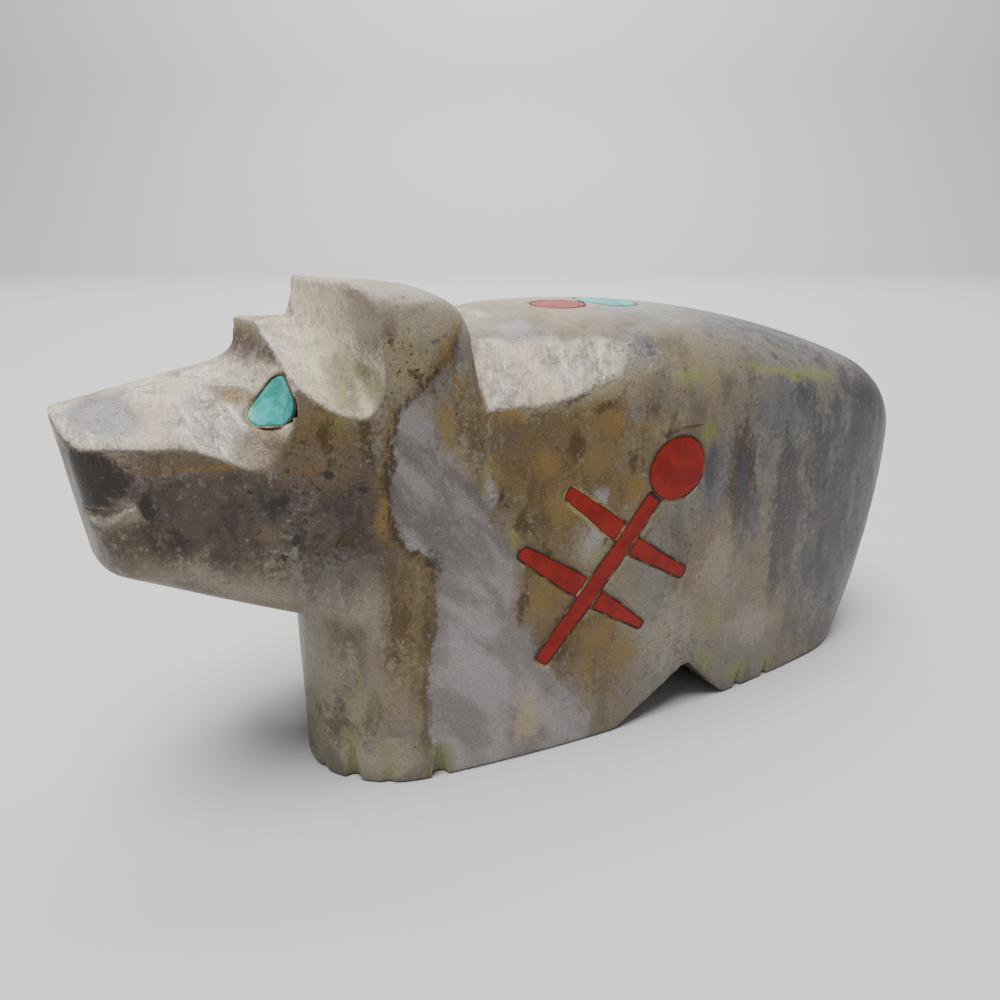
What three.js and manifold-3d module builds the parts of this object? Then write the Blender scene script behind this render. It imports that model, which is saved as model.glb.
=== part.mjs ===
// Carved stone bear fetish with inlay. Millimetres, +Z up, origin under the middle of the bear.
// The bear looks along -X and its left side faces -Y.
// It is sawn and ground from one piece of stone: a rounded blank, then one cut for each plane that the
// wheel left. "Station" is the distance behind the tip of the nose, measured along the bear.

import * as THREE from 'three';
import { ConvexGeometry } from 'three/addons/geometries/ConvexGeometry.js';
import { mergeVertices } from 'three/addons/utils/BufferGeometryUtils.js';
import Module from 'manifold-3d';

const wasm = await Module();
wasm.setup();

// Driving dimensions

const LENGTH = 74.3;
const MIDDLE = 37.08;
const HALF_WIDTH = 12.8;
const BACK_HEIGHT = 33.35;
const EAR_HEIGHT = 35.45;

// Side walls: widest behind the shoulder, bowed gently along the bear and up its flank
const SIDE = { widest: 44.9, bowRadius: 130, middle: 12, uprightRadius: 350 };

// Back, a long dome, and the rump that closes it behind
const BACK = { highest: 35.9, bowRadius: 88, crossRadius: 26, blend: 4 };
const RUMP = { middle: 20, upperRadius: 23, lowerRadius: 37, planRadius: 38, blend: 8 };

// Ear block: flat on top, leaning forward behind, with a rounded upper corner
const EARS = { middle: 16.9, slope: 0.075, flatHalf: 3, crossRadius: 35, edge: 0.6 };
const EAR_BACK = { station: 24.15, height: 31.5, lean: 0.16, corner: 2.2 };
const NECK_GROOVE = { station: 26.5, height: 39.9, radius: 7.9, end: 33 };
const CROWN_START = 8;

// Flat ground on each shoulder behind the ears: a plane across the corner that runs out to the rear
const SHOULDER = { start: 24.5, half: 10.84, height: 27.35, sideways: 0.77, upward: 0.638 };
const SHOULDER_RUN = { rise: 0.115, curve: 0.004, end: 46 };

// Muzzle: a bridge with a sloping cheek on each side, ending at the upright front of the brow
const BRIDGE = { height: 27.95, slope: 0.20, curve: 0.0015, crossRadius: 20, flatHalf: 3, blend: 0.8 };
const CHEEK = { slope: 0.80, extra: 0.42, from: 5.9, run: 6, drop: 0.1 };
const BROW = { station: 11.6, sweep: 0.36, limit: 13.22, blend: 0.8, height: 33, lean: 0.1 };
const BROW_TOP = { end: 15.3, fall: 0.05 };
const BROW_FILLET = { middle: 1.2, perHalf: 0.22 };

// Wheel channel on each side between brow and ears, tilted down and swept back
const CHANNEL = { station: 12.3, sweep: 0.25, height: 37.15, tilt: 32.2, radius: 3.55, power: 3 };
const CHANNEL_SLOPE = { depth: 3.3, from: 1, slope: 0.62, meets: 1.2, ahead: -7 };
const CHANNEL_TURN = { from: -68, to: 90, steps: 14 };
const CHANNEL_PAST_MIDDLE = 6;

// Nose front and chin
const NOSE = { height: 27.9, lean: 0.105, curve: 0.0012, planRadius: 20 };
const CHIN = { station: 6.7, height: 15.6, slope: 0.445, crossRadius: 24, edge: 1.6, edgeHeight: 16 };

// Front of the chest and legs in plan: a front face and a face across each corner
const CHEST = { station: 12.95, half: -4.2, skew: 0.27, blend: 3 };
const CHEST_LEFT = { station: 14.8, half: -7.1, slope: -0.958 };
const CHEST_RIGHT = { station: 17.3, half: 8.2, slope: 0.958 };
const THROAT_HOLLOW = { station: 14.6, half: 17.6, height: 14.4, radius: 9 };

// Belly arch, the gaps between left and right legs, and the claw nicks
const ARCH = { station: 42.75, height: 4.4, frontSlope: 0.64, rearSlope: 1.0, round: 0.6 };
const FRONT_GAP = { from: 6, to: 25, half: 1.6, height: 9 };
const REAR_GAP = { from: 62, to: 80, half: 1.6, height: 8 };
const CLAW = { sides: 6, foot: -0.5 };
const FRONT_CLAWS = [{ half: -5.4, top: 4.9, radius: 0.85 }, { half: -7.5, top: 4.5, radius: 0.65 },
  { half: -9.5, top: 3.5, radius: 0.65 }, { half: 4.8, top: 4.7, radius: 0.7 },
  { half: 7.0, top: 4.3, radius: 0.65 }, { half: 9.2, top: 3.6, radius: 0.6 }];
const SIDE_CLAWS = [{ station: 20.9, top: 3.0, radius: 0.75 }, { station: 49.1, top: 2.2, radius: 0.6 },
  { station: 52.7, top: 1.9, radius: 0.55 }];

// Mouth: a wedge-shaped cut on each side, flat above and slanted below, that closes towards the rear
const MOUTH = { front: -0.5, rear: 3.7, height: 22.85, deep: 1.75, tall: 2.36, outside: 1 };

// Inlay: how deep the pieces sit and the glue line round them
const INLAY_DEPTH = 1.5;
const GLUE_GAP = 0.25;
const FLANK_LEVEL = HALF_WIDTH - 0.3;
const TOP_LEVEL = BACK_HEIGHT - 0.4;

// Eyes, in a plane tangent to the cheek: a rounded triangle
const EYE = { station: 12.0, half: 6.7, height: 28.37, corner: 0.92, round: 0.9, turn: 66 };
const EYE_FACING = { x: -0.42, y: -0.71, z: 0.565 };

// Lizard on the left side: spine from neck to tail, legs square to it
const SPINE = { station: 38.08, height: 19.6, angle: 230.8, length: 15.0 };
const SPINE_HALF_WIDTH = { neck: 0.64, middle: 0.73, tail: 0.62 };
const LIZARD_HEAD = { station: 40.18, height: 21.56, across: 2.62, along: 2.4, angle: 21 };
const TIP_BLUNTNESS = 0.55;
const LEGS = {
  lizard_leg_front_upper: { along: 3.6, side: 1, lean: 0, length: 6.75, root: 0.82, tip: 0.52, bulge: 0.7 },
  lizard_leg_hind_upper: { along: 8.55, side: 1, lean: 2.8, length: 7.1, root: 0.84, tip: 0.48, bulge: 0.74 },
  lizard_leg_front_lower: { along: 3.98, side: -1, lean: 7, length: 6.9, root: 0.76, tip: 0.5, bulge: 0.62 },
  lizard_leg_hind_lower: { along: 8.75, side: -1, lean: 3, length: 6.2, root: 0.76, tip: 0.35, bulge: 0.57 },
};

// Ovals on top of the back
const BACK_CORAL = { station: 35.3, half: -3.2, along: 2.3, across: 1.6 };
const BACK_TURQUOISE = { station: 40.6, half: -2.2, along: 2.7, across: 2.3 };

// Room round the stone for the cutters
const AHEAD = -14;
const ABOVE = 46;
const BELOW = -6;
const ASIDE = 16;
const OUTSIDE = 4;

// Blank: an axis through the bear, rings along it, points round each ring and the point that keeps to the
// upper corner of the flank
const AXIS = { from: 6, to: 57, height: 20, radius: 3 };
const RINGS = { along: 24, cap: 9, round: 44, corner: 7 };

// Shared curves

const xAt = (station) => station - MIDDLE;
const stationAt = (x) => x + MIDDLE;
const sag = (distance, radius) => distance * distance / (2 * radius);
const degrees = THREE.MathUtils.degToRad;

function smoothMax(a, b, blend) {
  const near = Math.max(blend - Math.abs(a - b), 0) / blend;
  return Math.max(a, b) + near * near * blend / 4;
}

const smoothMin = (a, b, blend) => -smoothMax(-a, -b, blend);

function halfWidth(station, z) {
  return HALF_WIDTH - sag(station - SIDE.widest, SIDE.bowRadius) - sag(z - SIDE.middle, SIDE.uprightRadius);
}

function earTop(station, half) {
  const outside = Math.max(half - EARS.flatHalf, 0);
  return EAR_HEIGHT - (station - EARS.middle) * EARS.slope - sag(outside, EARS.crossRadius);
}

const earBack = (z) => EAR_BACK.station - (z - EAR_BACK.height) * EAR_BACK.lean;

// The rounded blank before any plane is ground: negative inside the stone
function blankField(x, y, z) {
  const station = stationAt(x);
  const half = Math.abs(y);
  const side = half - halfWidth(station, z);
  if (station < NECK_GROOVE.station - EARS.edge) {
    return smoothMax(side, z - earTop(station, half), EARS.edge);
  }
  const top = z - (BACK_HEIGHT - sag(station - BACK.highest, BACK.bowRadius) - sag(half, BACK.crossRadius));
  const bend = z > RUMP.middle ? RUMP.upperRadius : RUMP.lowerRadius;
  const rump = station - (LENGTH - sag(z - RUMP.middle, bend) - sag(half, RUMP.planRadius));
  return smoothMax(smoothMax(side, top, BACK.blend), rump, RUMP.blend);
}

function bridgeHeight(station, half) {
  const ridge = BRIDGE.height + BRIDGE.slope * station + BRIDGE.curve * station * station;
  const run = THREE.MathUtils.smoothstep(station, CHEEK.from, CHEEK.from + CHEEK.run);
  const cheek = ridge + CHEEK.drop - (CHEEK.slope + CHEEK.extra * run) * (half - BRIDGE.flatHalf);
  return smoothMin(ridge - sag(half, BRIDGE.crossRadius), cheek, BRIDGE.blend);
}

const browStation = (half) => smoothMin(BROW.station + BROW.sweep * half, BROW.limit, BROW.blend);

function shoulderHeight(station, half) {
  const run = station - SHOULDER.start;
  const reach = SHOULDER.sideways * SHOULDER.half + SHOULDER.upward * SHOULDER.height
    + SHOULDER_RUN.rise * run + SHOULDER_RUN.curve * run * run;
  return (reach - SHOULDER.sideways * half) / SHOULDER.upward;
}

function chinHeight(station, half) {
  const flat = CHIN.height - (station - CHIN.station) * CHIN.slope + sag(half, CHIN.crossRadius);
  const inEdge = Math.min(Math.max(half - halfWidth(station, CHIN.edgeHeight) + CHIN.edge, 0), CHIN.edge);
  return flat + CHIN.edge - Math.sqrt(CHIN.edge * CHIN.edge - inEdge * inEdge);
}

function noseStation(y, z) {
  const down = NOSE.height - z;
  return sag(y, NOSE.planRadius) + NOSE.lean * down + NOSE.curve * down * down;
}

function chestStation(y) {
  const front = CHEST.station + CHEST.skew * (y - CHEST.half);
  const left = CHEST_LEFT.station + CHEST_LEFT.slope * (y - CHEST_LEFT.half);
  const right = CHEST_RIGHT.station + CHEST_RIGHT.slope * (y - CHEST_RIGHT.half);
  return smoothMax(smoothMax(front, left, CHEST.blend), right, CHEST.blend);
}

// Solids from geometries, and geometries from solids

function signedVolume(position, index) {
  const [a, b, c] = [new THREE.Vector3(), new THREE.Vector3(), new THREE.Vector3()];
  let sum = 0;
  for (let i = 0; i < index.length; i += 3) {
    a.fromBufferAttribute(position, index[i]);
    b.fromBufferAttribute(position, index[i + 1]);
    c.fromBufferAttribute(position, index[i + 2]);
    sum += a.dot(b.cross(c)) / 6;
  }
  return sum;
}

function solid(geometry) {
  const bare = geometry.clone();
  bare.deleteAttribute('normal');
  bare.deleteAttribute('uv');
  const merged = mergeVertices(bare);
  const index = Uint32Array.from(merged.index.array);
  if (signedVolume(merged.attributes.position, index) < 0) index.reverse();
  const vertProperties = new Float32Array(merged.attributes.position.array);
  const mesh = new wasm.Mesh({ numProp: 3, vertProperties, triVerts: index });
  return new wasm.Manifold(mesh);
}

function geometryOf(manifold) {
  const mesh = manifold.getMesh();
  const geometry = new THREE.BufferGeometry();
  geometry.setAttribute('position', new THREE.BufferAttribute(new Float32Array(mesh.vertProperties), 3));
  geometry.setIndex(new THREE.BufferAttribute(new Uint32Array(mesh.triVerts), 1));
  return geometry;
}

function moveVertices(geometry, place) {
  const position = geometry.attributes.position;
  for (let i = 0; i < position.count; i += 1) {
    position.setXYZ(i, ...place(position.getX(i), position.getY(i), position.getZ(i)));
  }
  return geometry;
}

// A box whose vertices are placed by a function of how far along, across (-1 to 1) and up they lie
function warpedBox(columns, rows, layers, place) {
  const box = new THREE.BoxGeometry(1, 1, 1, columns, rows, layers);
  const tidy = (share) => Math.round(share * 1e5) / 1e5;
  return moveVertices(box, (u, v, w) => place(tidy(u + 0.5), tidy(v * 2), tidy(w + 0.5)));
}

const mirrored = (geometry) => moveVertices(geometry.clone(), (x, y, z) => [x, -y, z]);

const bothSides = (geometry) => [solid(geometry), solid(mirrored(geometry))];

// A side view outline (station, height) pushed through the bear from left to right
function acrossBear(shape) {
  const options = { depth: 2 * ASIDE, bevelEnabled: false, curveSegments: 10 };
  const geometry = new THREE.ExtrudeGeometry(shape, options);
  return moveVertices(geometry, (station, z, depth) => [xAt(station), ASIDE - depth, z]);
}

// Turns a direction round the axis so that one row of points runs along the upper corner of the flank
function followCorner(direction, station) {
  const round = Math.hypot(direction.y, direction.z);
  if (direction.z <= 0 || round === 0) return direction;
  const height = station < NECK_GROOVE.station ? EAR_HEIGHT : BACK_HEIGHT;
  const corner = Math.atan2(height - AXIS.height, halfWidth(station, height));
  const row = RINGS.corner * 2 * Math.PI / RINGS.round;
  const upright = Math.PI / 2;
  const turn = Math.atan2(direction.z, Math.abs(direction.y));
  const turned = turn < row ? turn * corner / row
    : upright - (upright - turn) * (upright - corner) / (upright - row);
  direction.y = Math.sign(direction.y) * round * Math.cos(turned);
  direction.z = round * Math.sin(turned);
  return direction;
}

// The blank: a capsule along the bear, its skin pushed out from its axis to the surface
function blank() {
  const capsule = new THREE.CapsuleGeometry(AXIS.radius, AXIS.to - AXIS.from, RINGS.cap, RINGS.round,
    RINGS.along);
  capsule.rotateZ(Math.PI / 2);
  capsule.translate(xAt((AXIS.from + AXIS.to) / 2), 0, AXIS.height);
  const position = capsule.attributes.position;
  const direction = new THREE.Vector3();
  const start = new THREE.Vector3();
  const point = new THREE.Vector3();
  const halvings = 40;
  for (let i = 0; i < position.count; i += 1) {
    direction.fromBufferAttribute(capsule.attributes.normal, i);
    start.fromBufferAttribute(position, i).addScaledVector(direction, -AXIS.radius);
    followCorner(direction, stationAt(start.x));
    let inside = 0;
    let outside = LENGTH;
    for (let step = 0; step < halvings; step += 1) {
      const middle = (inside + outside) / 2;
      point.copy(start).addScaledVector(direction, middle);
      if (blankField(point.x, point.y, point.z) < 0) inside = middle;
      else outside = middle;
    }
    point.copy(start).addScaledVector(direction, inside);
    position.setXYZ(i, point.x, point.y, point.z);
  }
  return solid(capsule);
}

// Cuts that shape the head

// The columns crowd towards the brow and the rows towards the middle, where the surface bends most
function muzzleCut() {
  const crowd = { brow: 2.4, middle: 1.3 };
  return solid(warpedBox(18, 22, 1, (u, v, w) => {
    const y = Math.sign(v) * ASIDE * Math.abs(v) ** crowd.middle;
    const half = Math.abs(y);
    const brow = browStation(half);
    const station = AHEAD + (brow - AHEAD) * (1 - (1 - u) ** crowd.brow);
    const radius = BROW_FILLET.middle + BROW_FILLET.perHalf * half;
    const intoFillet = THREE.MathUtils.clamp(radius - (brow - station), 0, radius);
    const fillet = radius - Math.sqrt(radius * radius - intoFillet * intoFillet);
    const z = w > 0.5 ? ABOVE : bridgeHeight(station, half) + fillet;
    const lean = u === 1 ? BROW.lean * (z - BROW.height) : 0;
    return [xAt(station) + lean, y, z];
  }));
}

function browTopCut() {
  return solid(warpedBox(1, 2, 1, (u, v, w) => {
    const z = w > 0.5 ? ABOVE : BROW.height - BROW_TOP.fall * Math.abs(v) * ASIDE;
    return [xAt(u > 0.5 ? BROW_TOP.end : AHEAD), v * ASIDE, z];
  }));
}

// Section of the wheel channel, across the bear's length (u) and square to the channel's floor
function channelShape() {
  const { depth, from, slope, meets, ahead } = CHANNEL_SLOPE;
  const { steps } = CHANNEL_TURN;
  const squareness = 2 / CHANNEL.power;
  const shape = new THREE.Shape();
  shape.moveTo(ahead, -depth - (ahead - from) * slope);
  shape.lineTo(meets, -depth - (meets - from) * slope);
  for (let i = 0; i <= steps; i += 1) {
    const turn = degrees(THREE.MathUtils.lerp(CHANNEL_TURN.from, CHANNEL_TURN.to, i / steps));
    const across = Math.abs(Math.cos(turn)) ** squareness;
    const up = Math.sign(Math.sin(turn)) * Math.abs(Math.sin(turn)) ** squareness;
    shape.lineTo(CHANNEL.radius * across, CHANNEL.radius * up);
  }
  shape.lineTo(ahead, CHANNEL.radius);
  return shape;
}

function channelCuts() {
  const tilt = degrees(CHANNEL.tilt);
  const options = { depth: ASIDE + CHANNEL_PAST_MIDDLE, bevelEnabled: false };
  const geometry = new THREE.ExtrudeGeometry(channelShape(), options);
  moveVertices(geometry, (u, h, depth) => {
    const half = depth - CHANNEL_PAST_MIDDLE;
    const x = xAt(CHANNEL.station + CHANNEL.sweep * half + u);
    return [x, -half, CHANNEL.height + (h - half * Math.sin(tilt)) / Math.cos(tilt)];
  });
  return bothSides(geometry);
}

// Top of the ears, their rounded rear corner and the groove behind them, in one side view outline
function crownAndNeckCut() {
  const { corner } = EAR_BACK;
  const top = (station) => earTop(station, 0);
  const cornerStation = earBack(EAR_HEIGHT - corner / 4);
  const grooveAngle = Math.asin((earBack(BACK_HEIGHT) - NECK_GROOVE.station) / NECK_GROOVE.radius);
  const endAngle = Math.asin((NECK_GROOVE.end - NECK_GROOVE.station) / NECK_GROOVE.radius);
  const shape = new THREE.Shape();
  shape.moveTo(CROWN_START, ABOVE);
  shape.lineTo(CROWN_START, top(CROWN_START));
  shape.lineTo(cornerStation - corner, top(cornerStation - corner));
  const below = top(cornerStation) - corner;
  shape.quadraticCurveTo(cornerStation, top(cornerStation), earBack(below), below);
  const quarter = Math.PI / 2;
  shape.absarc(NECK_GROOVE.station, NECK_GROOVE.height, NECK_GROOVE.radius, grooveAngle - quarter,
    endAngle - quarter, false);
  shape.lineTo(NECK_GROOVE.end, ABOVE);
  return solid(acrossBear(shape));
}

function shoulderCuts() {
  return bothSides(warpedBox(12, 1, 1, (u, v, w) => {
    const half = v > 0 ? 0 : ASIDE;
    const bottomStart = earBack(shoulderHeight(SHOULDER.start, half));
    const station = bottomStart + (SHOULDER_RUN.end - bottomStart) * u;
    const z = w > 0.5 ? ABOVE : shoulderHeight(station, half);
    return [xAt(u === 0 ? earBack(z) : station), -half, z];
  }));
}

function noseCut() {
  const past = 0.3;
  return solid(warpedBox(1, 12, 6, (u, v, w) => {
    const y = v * ASIDE / 2;
    const z = THREE.MathUtils.lerp(CHIN.height, BRIDGE.height, w * (1 + 2 * past) - past);
    return [xAt(u > 0.5 ? noseStation(y, z) : AHEAD), y, z];
  }));
}

function chinCut() {
  return solid(warpedBox(14, 34, 1, (u, v, w) => {
    const y = v * ASIDE;
    const station = AHEAD + (chestStation(y) - AHEAD) * u;
    return [xAt(station), y, w > 0.5 ? chinHeight(station, Math.abs(y)) : BELOW];
  }));
}

function throatCuts() {
  const ball = new THREE.SphereGeometry(THROAT_HOLLOW.radius, 44, 30);
  ball.translate(xAt(THROAT_HOLLOW.station), -THROAT_HOLLOW.half, THROAT_HOLLOW.height);
  return bothSides(ball);
}

// Cuts below: ground, belly arch, leg gaps, claws and the corners of the mouth

function groundCut() {
  const box = new THREE.BoxGeometry(2 * LENGTH, 4 * ASIDE, 2 * LENGTH);
  box.translate(0, 0, -LENGTH);
  return solid(box);
}

function archCut() {
  const { station, height, frontSlope, rearSlope, round } = ARCH;
  const shape = new THREE.Shape();
  shape.moveTo(station - (height - BELOW) / frontSlope, BELOW);
  shape.lineTo(station - round, height - round * frontSlope);
  shape.quadraticCurveTo(station, height, station + round, height - round * rearSlope);
  shape.lineTo(station + (height - BELOW) / rearSlope, BELOW);
  return solid(acrossBear(shape));
}

function legGapCut({ from, to, half, height }) {
  const shape = new THREE.Shape();
  shape.moveTo(-half, BELOW);
  shape.lineTo(half, BELOW);
  shape.absarc(0, height - half, half, 0, Math.PI, false);
  const options = { depth: to - from, bevelEnabled: false, curveSegments: 5 };
  const geometry = new THREE.ExtrudeGeometry(shape, options);
  return solid(moveVertices(geometry, (y, z, depth) => [xAt(from + depth), y, z]));
}

function clawCut(x, y, { top, radius }) {
  const cone = new THREE.ConeGeometry(radius, top - CLAW.foot, CLAW.sides);
  cone.rotateX(Math.PI / 2);
  cone.translate(x, y, (top + CLAW.foot) / 2);
  return solid(cone);
}

function clawCuts() {
  const front = FRONT_CLAWS.map((claw) => clawCut(xAt(chestStation(claw.half)), claw.half, claw));
  const sides = SIDE_CLAWS.flatMap((claw) => {
    const half = halfWidth(claw.station, 0);
    return [clawCut(xAt(claw.station), half, claw), clawCut(xAt(claw.station), -half, claw)];
  });
  return [...front, ...sides];
}

function mouthCuts() {
  const { front, rear, height, deep, tall, outside } = MOUTH;
  const side = -halfWidth(front, height);
  const wedge = new ConvexGeometry([
    new THREE.Vector3(xAt(rear), -halfWidth(rear, height), height),
    new THREE.Vector3(xAt(front), side + deep, height),
    new THREE.Vector3(xAt(front), side - outside, height),
    new THREE.Vector3(xAt(front), side - outside, height - tall * (1 + outside / deep)),
  ]);
  return bothSides(wedge);
}

function carvedStone() {
  const cuts = [muzzleCut(), browTopCut(), ...channelCuts(), crownAndNeckCut(), ...shoulderCuts(),
    noseCut(), chinCut(), ...throatCuts(), groundCut(), archCut(), legGapCut(FRONT_GAP),
    legGapCut(REAR_GAP), ...clawCuts(), ...mouthCuts()];
  return cuts.reduce((stone, cut) => stone.subtract(cut), blank());
}

// Inlay outlines, each grown by the glue gap when it is used for the pocket

function ovalShape(centreX, centreY, alongX, alongY, turn) {
  const shape = new THREE.Shape();
  shape.absellipse(centreX, centreY, alongX, alongY, 0, 2 * Math.PI, false, turn);
  return shape;
}

function eyeShape(grow) {
  const shape = new THREE.Shape();
  for (let corner = 0; corner < 3; corner += 1) {
    const turn = degrees(EYE.turn + 120 * corner);
    shape.absarc(EYE.corner * Math.cos(turn), EYE.corner * Math.sin(turn), EYE.round + grow,
      turn - Math.PI / 3, turn + Math.PI / 3, false);
  }
  return shape;
}

// A bar from a start point along an angle, with half widths at its root, middle and tip and a blunt tip
function barShape(x, y, angle, length, root, bulge, tip, grow) {
  const along = new THREE.Vector2(Math.cos(angle), Math.sin(angle));
  const across = new THREE.Vector2(-along.y, along.x);
  const at = (distance, offset) => new THREE.Vector2(x, y)
    .addScaledVector(along, distance).addScaledVector(across, offset);
  const points = [at(-grow, -root - grow), at(length / 2, -bulge - grow)];
  const cap = tip * TIP_BLUNTNESS;
  const end = length - cap;
  const steps = 6;
  for (let i = 0; i <= steps; i += 1) {
    const turn = Math.PI * (i / steps - 0.5);
    points.push(at(end + (cap + grow) * Math.cos(turn), (tip + grow) * Math.sin(turn)));
  }
  points.push(at(length / 2, bulge + grow), at(-grow, root + grow));
  return new THREE.Shape(points);
}

function spineShape(grow) {
  const { station, height, angle, length } = SPINE;
  const { neck, middle, tail } = SPINE_HALF_WIDTH;
  return barShape(station, height, degrees(angle), length, neck, middle, tail, grow);
}

function legShape({ along, side, lean, length, root, tip, bulge }, grow) {
  const spineAngle = degrees(SPINE.angle);
  const angle = spineAngle - side * Math.PI / 2 + degrees(lean);
  const clear = SPINE_HALF_WIDTH.middle + GLUE_GAP;
  const x = SPINE.station + along * Math.cos(spineAngle) + clear * Math.cos(angle);
  const y = SPINE.height + along * Math.sin(spineAngle) + clear * Math.sin(angle);
  return barShape(x, y, angle, length - clear, root, bulge, tip, grow);
}

// Prisms that reach from below the surface to well outside it

const extrude = (shape, depth, curveSegments = 16) => new THREE.ExtrudeGeometry(shape,
  { depth, bevelEnabled: false, curveSegments });

function leftSidePrism(shape, depth) {
  const prism = extrude(shape, OUTSIDE + depth);
  return solid(moveVertices(prism, (station, z, out) => [xAt(station), depth - FLANK_LEVEL - out, z]));
}

function backPrism(shape, depth) {
  const prism = extrude(shape, OUTSIDE + depth);
  return solid(moveVertices(prism, (station, y, up) => [xAt(station), y, TOP_LEVEL - depth + up]));
}

function eyePrisms(grow, depth) {
  const out = new THREE.Vector3(EYE_FACING.x, EYE_FACING.y, EYE_FACING.z).normalize();
  const right = new THREE.Vector3(1, 0, 0).addScaledVector(out, -out.x).normalize();
  const up = new THREE.Vector3().crossVectors(out, right);
  const centre = new THREE.Vector3(xAt(EYE.station), -EYE.half, EYE.height);
  const prism = extrude(eyeShape(grow), OUTSIDE + depth, 4);
  moveVertices(prism, (a, b, c) => centre.clone().addScaledVector(right, a)
    .addScaledVector(up, b).addScaledVector(out, c - depth).toArray());
  return bothSides(prism);
}

function inlayPrisms(grow, depth) {
  const [left, right] = eyePrisms(grow, depth);
  const prisms = { eye_left: left, eye_right: right };
  const { station, height, across, along, angle } = LIZARD_HEAD;
  const head = ovalShape(station, height, across + grow, along + grow, degrees(angle));
  prisms.lizard_head = leftSidePrism(head, depth);
  prisms.lizard_spine = leftSidePrism(spineShape(grow), depth);
  for (const [name, leg] of Object.entries(LEGS)) prisms[name] = leftSidePrism(legShape(leg, grow), depth);
  for (const [name, oval] of Object.entries({ back_coral: BACK_CORAL, back_turquoise: BACK_TURQUOISE })) {
    const outline = ovalShape(oval.station, oval.half, oval.along + grow, oval.across + grow, 0);
    prisms[name] = backPrism(outline, depth);
  }
  return prisms;
}

// Materials

const material = (color, roughness) => new THREE.MeshStandardMaterial({ color, roughness, metalness: 0 });
const stoneMaterial = () => material(0x8b857c, 0.5);
const turquoiseMaterial = () => material(0x66b5b4, 0.35);
const coralMaterial = () => material(0xa6332b, 0.35);
const isTurquoise = (name) => name.startsWith('eye') || name.endsWith('turquoise');

// The bear

function bear() {
  const group = new THREE.Group();
  const whole = carvedStone();
  const pockets = Object.values(inlayPrisms(GLUE_GAP, INLAY_DEPTH + GLUE_GAP));
  const pieces = { stone_bear: pockets.reduce((stone, pocket) => stone.subtract(pocket), whole) };
  for (const [name, prism] of Object.entries(inlayPrisms(0, INLAY_DEPTH))) {
    pieces[name] = whole.intersect(prism);
  }
  for (const [name, piece] of Object.entries(pieces)) {
    const inlay = isTurquoise(name) ? turquoiseMaterial() : coralMaterial();
    const mesh = new THREE.Mesh(geometryOf(piece), name === 'stone_bear' ? stoneMaterial() : inlay);
    mesh.name = name;
    group.add(mesh);
  }
  return group;
}

export default bear();
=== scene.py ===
"""Stone bear fetish with turquoise and coral inlay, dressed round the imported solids.

The bear looks along -X and its left side faces -Y. Sizes in this file are millimetres, as a carver would
measure them, and every mesh is written in metres. "Station" is the distance behind the tip of the nose.
"""

import math
from types import SimpleNamespace as Sizes

import bpy
import numpy as np
from bpy.props import FloatProperty, FloatVectorProperty, IntProperty, PointerProperty
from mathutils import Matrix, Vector


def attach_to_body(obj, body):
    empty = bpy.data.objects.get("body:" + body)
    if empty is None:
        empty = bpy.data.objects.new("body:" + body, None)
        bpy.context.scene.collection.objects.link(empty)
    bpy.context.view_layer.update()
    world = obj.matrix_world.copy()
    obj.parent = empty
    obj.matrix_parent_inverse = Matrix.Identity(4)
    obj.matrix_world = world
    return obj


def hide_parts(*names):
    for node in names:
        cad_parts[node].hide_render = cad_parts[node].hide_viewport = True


bl_info = {
    "name": "Stone Bear Fetish",
    "version": (1, 0, 0),
    "blender": (4, 5, 0),
    "location": "3D Viewport > Sidebar > Stone Bear",
    "description": "Carves a small stone bear with inlaid eyes, lizard and back ovals",
    "category": "Object",
}

MM = 0.001
MIDDLE = 37.08

# Blank: flanks, back and rump
LENGTH = 74.3
HALF_WIDTH = 12.8
BACK_HEIGHT = 33.35
SIDE = Sizes(widest=44.9, bow=130.0, middle=12.0, upright=350.0)
BACK = Sizes(highest=35.9, bow=88.0, cross=26.0, blend=4.0)
RUMP = Sizes(middle=20.0, upper=23.0, lower=37.0, plan=38.0, blend=8.0)

# Ears, neck groove and the ground flat on each shoulder
EARS = Sizes(height=35.45, middle=16.9, slope=0.075, flat=3.0, cross=35.0)
EAR_BACK = Sizes(station=24.15, height=31.5, lean=0.16, corner=2.2)
NECK_GROOVE = Sizes(station=26.5, height=39.9, radius=7.9)
SHOULDER = Sizes(start=24.5, half=10.84, height=27.35, sideways=0.77, upward=0.638)
SHOULDER_RUN = Sizes(rise=0.115, curve=0.004)

# Muzzle, brow and the wheel channel between brow and ears
BRIDGE = Sizes(height=27.95, slope=0.20, curve=0.0015, cross=20.0, flat=3.0)
CHEEK = Sizes(slope=0.80, extra=0.42, start=5.9, run=6.0, drop=0.1)
BROW = Sizes(station=11.6, sweep=0.36, limit=13.22, height=33.0, lean=0.1, end=15.3, fall=0.05)
BROW_FILLET = Sizes(middle=1.6, per_half=0.18, corner=0.8, end=0.5)
CHANNEL = Sizes(station=12.3, sweep=0.25, height=37.15, tilt=32.2, radius=3.55)
CHANNEL_SLOPE = Sizes(depth=3.3, start=1.0, slope=0.62, square=0.85, blend=1.2)

# Nose, chin, chest and throat
NOSE = Sizes(height=27.9, lean=0.105, curve=0.0012, plan=20.0)
HEAD_BLENDS = Sizes(chin=2.0, nose=0.9, top=1.0)
CHIN = Sizes(station=6.7, height=15.6, slope=0.445, cross=24.0)
CHEST = Sizes(station=12.95, half=-4.2, skew=0.27)
CHEST_LEFT = Sizes(station=14.8, half=-7.1, slope=0.958)
CHEST_RIGHT = Sizes(station=17.3, half=8.2, slope=0.958)
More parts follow.
